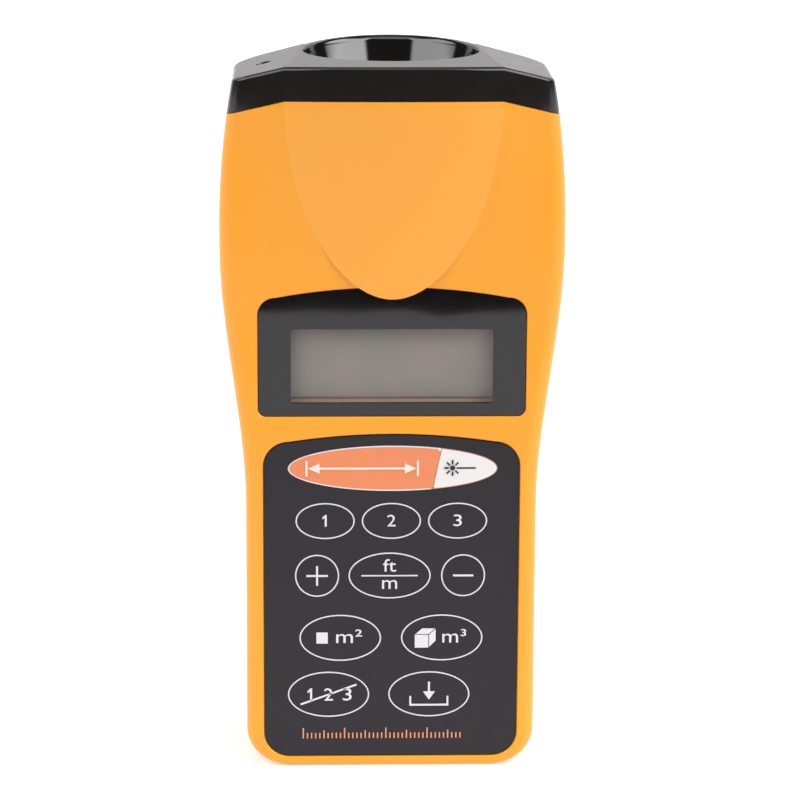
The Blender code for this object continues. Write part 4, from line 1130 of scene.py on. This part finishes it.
def print_small_keys():
    print_key("key_memory_1", [number_one(0.0, 0.1, 2.3, STROKE)])
    for number in (2, 3):
        print_key(f"key_memory_{number}", [], [(str(number), 0.0, 0.1, 1.6, 2.3)])
    edge = STROKE / 2
    print_key("key_plus", [bar((-2.05, 0.0), (2.05, 0.0), STROKE), bar((0.0, edge), (0.0, 1.95), STROKE),
                           bar((0.0, -1.95), (0.0, -edge), STROKE)])
    print_key("key_minus", [bar((-1.95, 0.0), (1.95, 0.0), STROKE)])
    print_key("key_units", [bar((-5.4, 0.0), (5.4, 0.0), 0.24)],
              [("ft", 0.0, 2.05, 2.5, 2.5), ("m", 0.0, -1.75, 2.9, 1.75)])


def rectangle(left, low, right, high):
    return [(left, low), (right, low), (right, high), (left, high)]


def print_measure_symbols():
    """Square and cube marks beside their units."""
    print_key("key_area", [rectangle(-4.6, -1.1, -2.4, 1.1)], [("m²", 1.7, 0.35, 5.0, 2.7)])
    left, low, side, lean, cut = -5.2, -2.0, 2.6, 1.25, 0.16
    right, high = left + side, low + side
    top = [(left + cut, high + cut), (right + cut / 2, high + cut), (right + lean, high + lean),
           (left + lean + cut, high + lean)]
    flank = [(right + cut, low + cut), (right + lean + cut, low + lean + cut),
             (right + lean + cut, high + lean - cut / 2), (right + cut, high)]
    print_key("key_volume", [rectangle(left, low, right, high), top, flank],
              [("m³", 2.4, 0.35, 4.6, 2.7)])


def print_memory_symbols():
    """Three numbers struck through for clearing them all, and an arrow into a tray for storing."""
    print_key("key_clear", [bar((-5.4, -2.0), (5.4, 2.0), 0.34), number_one(-3.5, 0.0, 2.5, 0.4)],
              [("2", 0.0, 0.0, 1.7, 2.5), ("3", 3.6, 0.0, 1.7, 2.5)])
    tray = [bar((-3.6, -0.4), (-3.6, -2.0), 0.36), bar((-3.78, -2.18), (3.78, -2.18), 0.36),
            bar((3.6, -2.0), (3.6, -0.4), 0.36)]
    arrow = [bar((0.0, 2.5), (0.0, 0.55), 0.4), arrow_head((0.0, -1.15), (0.0, -1.0), 1.7, 2.3)]
    print_key("key_store", tray + arrow)


def print_oval_keys():
    """A dimension line on the measuring key and a beam on the laser key."""
    x, z = -5.6, oval_ellipse()[1]
    reach, gap, head = 10.6, 0.3, 2.2
    shapes = [bar((x - reach, z - 1.5), (x - reach, z + 1.5), 0.42),
              bar((x + reach, z - 1.5), (x + reach, z + 1.5), 0.42),
              bar((x - reach + gap + head, z), (x + reach - gap - head, z), 0.4),
              arrow_head((x - reach + gap, z), (-1.0, 0.0), head, 2.0),
              arrow_head((x + reach - gap, z), (1.0, 0.0), head, 2.0)]
    print_on("key_measure_print", "key_measure", shapes, "pale_ink")
    spot = Vector((11.6, z + 0.05))
    shapes = []
    for i in range(8):
        direction = Vector((math.cos(math.radians(45.0 * i)), math.sin(math.radians(45.0 * i))))
        shapes.append(bar(spot + direction * 0.75, spot + direction * (1.55 if i else 4.4), 0.3))
    print_on("key_laser_print", "key_laser", shapes + [circle_points(spot, 0.5, 20)], "black_ink")


def print_scale():
    """Row of ruler ticks along the bottom of the film."""
    low, high = 5.6, 7.7
    first, last, count = -16.9, 13.5, 38
    ticks = []
    for i in range(count + 1):
        x = first + (last - first) * i / count
        top = high if i % 10 == 0 else high - (0.5 if i % 5 == 0 else 1.0)
        ticks.append(bar((x, low), (x, top), 0.26))
    print_on("film_scale_print", "casing", ticks, "orange_ink")


# ---------------- display
def make_window():
    """Printed window plate with a clear pane in the middle."""
    back = WINDOW_BOX[1].y
    clear = box((-VIEW_HALF_WIDTH, WINDOW_FRONT - 1.0, VIEW_LOW), (VIEW_HALF_WIDTH, back + 1.0, VIEW_HIGH))
    mesh = solid_from("window_plate", plate(window_outline, WINDOW_FRONT, back, 0.12),
                      [(CUT, tongue_form(0.15)), (CUT, clear)])
    finish_piece("window_plate", mesh, ["lens"], replaces=["display_window"])
    gap = 0.005
    pane = bevelled_mesh("window_pane", (-VIEW_HALF_WIDTH + gap, WINDOW_FRONT + 0.003, VIEW_LOW + gap),
                         (VIEW_HALF_WIDTH - gap, back, VIEW_HIGH - gap), 0.02, 1)
    finish_piece("window_pane", pane, ["pane"])


def make_lcd():
    """Glass with its polariser on the front and a bare ledge below it."""
    low, high = LCD_BOX
    glass = bevelled_mesh("lcd_cell", (low.x, low.y + 0.25, low.z), high, 0.08, 2)
    finish_piece("lcd_cell", glass, ["ledge"], replaces=["lcd_glass"], sharp=40.0)
    sheet = bevelled_mesh("lcd_polariser", (low.x + 0.6, low.y, VIEW_LOW + 0.62),
                          (high.x - 0.6, low.y + 0.22, high.z - 0.6), 0.03, 2)
    finish_piece("lcd_polariser", sheet, ["lcd"], sharp=40.0)


# ---------------- battery
def rounded_rectangle(low, high, radius):
    """Outline of (x, y) points with round corners."""
    left, front, right, back = low[0] + radius, low[1] + radius, high[0] - radius, high[1] - radius
    points = []
    for number, corner in enumerate(((right, back), (left, back), (left, front), (right, front))):
        points += arc(corner, radius, 90.0 * number, 90.0 * (number + 1), 6)
    return points


def make_battery():
    """Block battery: a jacket with a coloured band, crimped over at both ends."""
    low, high = BATTERY_BOX
    band_low = low.z + 33.0
    ends = [(0.9, 0.35), (0.75, 0.0), (0.3, 0.0), (0.06, 0.3), (0.0, 0.8)]  # (inset, distance from end)
    profile = [(inset, low.z + rise) for inset, rise in ends] + [(0.0, band_low)]
    profile += [(inset, high.z - rise) for inset, rise in reversed(ends)]
    rings = []
    for inset, z in profile:
        outline = rounded_rectangle((low.x + inset, low.y + inset), (high.x - inset, high.y - inset),
                                    max(1.2, 2.0 - inset))
        rings.append([(x, y, z) for x, y in outline])
    mesh = scaled_mesh("battery_block", loft(rings))
    paint_faces(mesh, 1, lambda point, normal: band_low < point.z < high.z - 0.8)
    paint_faces(mesh, 2, lambda point, normal: not low.z + 0.32 < point.z < high.z - 0.32)
    finish_piece("battery_block", mesh, ["jacket", "band", "steel"], replaces=["battery"])


# ---------------- CAD nodes that stay
KEPT = {
    "inner": ("lcd_frame", "transducer_base", "snap_connector"),
    "steel": ("transducer_can", "transducer_mesh", "transducer_cone", "board_screw_1", "board_screw_2",
              "crystal", "battery_positive_terminal", "battery_negative_terminal"),
    "rubber": ("isolator_ring", "key_mat", "zebra_strip"),
    "board": ("main_board", "laser_board"),
    "chip": ("microcontroller", "amplifier_chip", "step_up_transformer"),
    "capacitor": ("capacitor",),
    "brass": ("laser_barrel",),
    "glass": ("laser_window", "laser_lens"),
    "diffuser": ("lcd_backlight",),
    "red": ("red_lead",),
    "black_wire": ("black_lead",),
}


def dress_kept_nodes():
    """Gives the CAD nodes whose shape is shown as it is a finished material."""
    for finish, names in KEPT.items():
        for name in names:
            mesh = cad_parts[name].data
            mesh.materials.clear()
            mesh.materials.append(MATERIALS[finish])


# ---------------- stage, light and camera
def make_floor():
    """Pale floor that ends in front of the meter, where the studio is dark."""
    mesh = bpy.data.meshes.new("floor")
    bm = bmesh.new()
    bm.faces.new([bm.verts.new((x, y, 0.0)) for x, y in FLOOR_SIDES])
    bm.to_mesh(mesh)
    bm.free()
    floor = make_object("floor", mesh)
    floor.location.z = -0.0001
    material = start_material("floor_paper", (0.72, 0.72, 0.73), 0.9, Specular_IOR_Level=0.1,
                              Emission_Color=(1.0, 1.0, 1.0, 1.0), Emission_Strength=FLOOR_GLOW)
    vary_roughness(material, speckle(material, 3.0), 0.86, 0.94)
    mesh.materials.append(material)


def make_world():
    """Room with a softbox at each side of the front, a top light, and a pale wall behind."""
    world = bpy.data.worlds.new("studio")
    bpy.context.scene.world = world
    world.use_nodes = True
    world.node_tree.nodes.clear()

    def add(kind, inputs=(), **settings):
        return add_node(world, kind, inputs, **settings)

    def maths(operation, *values):
        return add("Math", list(enumerate(values)), operation=operation).outputs[0]

    def step_up(value, place, soft):
        return add("MapRange", [("Value", value), ("From Min", place - soft), ("From Max", place + soft)],
                   interpolation_type="SMOOTHSTEP").outputs["Result"]

    def band(value, low, high, soft):
        return maths("SUBTRACT", step_up(value, low, soft), step_up(value, high, soft))

    axes = add("SeparateXYZ", [("Vector", add("TexCoord").outputs["Generated"])])
    x, y, z = (axes.outputs[name] for name in "XYZ")
    azimuth = maths("DEGREES", maths("ARCTAN2", x, maths("MULTIPLY", y, -1.0)))
    height = maths("DEGREES", maths("ARCSINE", z))
    right = maths("MULTIPLY", band(azimuth, *RIGHT_SOFTBOX, 3.0), RIGHT_LIGHT)
    left = maths("MULTIPLY", band(azimuth, *LEFT_SOFTBOX, 3.0), LEFT_LIGHT)
    sides = maths("MULTIPLY", maths("ADD", right, left), band(height, *SOFTBOX_HEIGHTS, 4.0))
    wall_light = add("MapRange", [("Value", height), ("From Min", WALL_LIGHT_HEIGHTS[0]),
                                  ("From Max", WALL_LIGHT_HEIGHTS[1]), ("To Min", WALL_LIGHT[0]),
                                  ("To Max", WALL_LIGHT[1])]).outputs["Result"]
    wall = maths("MULTIPLY", step_up(maths("ABSOLUTE", azimuth), WALL_SIDE, 4.0),
                 band(height, -60.0, WALL_TOP, 5.0))
    towards = maths("ADD", maths("MULTIPLY", y, -math.sin(TOP_LEAN)),
                    maths("MULTIPLY", z, math.cos(TOP_LEAN)))
    top = maths("MULTIPLY", step_up(towards, math.cos(TOP_SPREAD), 0.03), TOP_LIGHT)
    light = DARK_LIGHT
    for part in (sides, maths("MULTIPLY", wall, wall_light), top):
        light = maths("ADD", part, light)
    lit = add("Background", [("Color", (1.0, 0.985, 1.0, 1.0)), ("Strength", light)])
    seen = add("Background", [("Color", (1.0, 1.0, 1.0, 1.0)), ("Strength", 1.0)])
    mix = add("MixShader", [(0, add("LightPath").outputs["Is Camera Ray"]), (1, lit.outputs[0]),
                            (2, seen.outputs[0])])
    add("OutputWorld", [("Surface", mix.outputs[0])]).is_active_output = True


def make_camera():
    """Long lens a little above the display, a touch to the left of the middle."""
    data = bpy.data.cameras.new("camera")
    camera = make_object("camera", data)
    bpy.context.scene.camera = camera
    data.sensor_width = 36.0
    data.lens = 151.0
    data.shift_x = 0.0126
    data.shift_y = 0.0054
    data.clip_start = 0.01
    data.clip_end = 20.0
    back = Vector((math.sin(CAMERA_TURN) * math.cos(CAMERA_RISE),
                   -math.cos(CAMERA_TURN) * math.cos(CAMERA_RISE), math.sin(CAMERA_RISE)))
    camera.location = Vector((0.0, 0.0005, cad_high.z / 2)) + back * CAMERA_DISTANCE
    camera.rotation_mode = "QUATERNION"
    roll = Quaternion((0.0, 0.0, 1.0), CAMERA_ROLL)
    camera.rotation_quaternion = (-back).to_track_quat("-Z", "Y") @ roll


bpy.context.scene.view_settings.view_transform = "Standard"
make_camera()
make_world()
make_floor()
for make in (make_front_housing, make_rear_housing, make_top_cap, make_battery_door, make_screws, make_film,
             make_keys, print_small_keys, print_measure_symbols, print_memory_symbols, print_oval_keys,
             print_scale, make_window, make_lcd, make_battery, dress_kept_nodes):
    make()
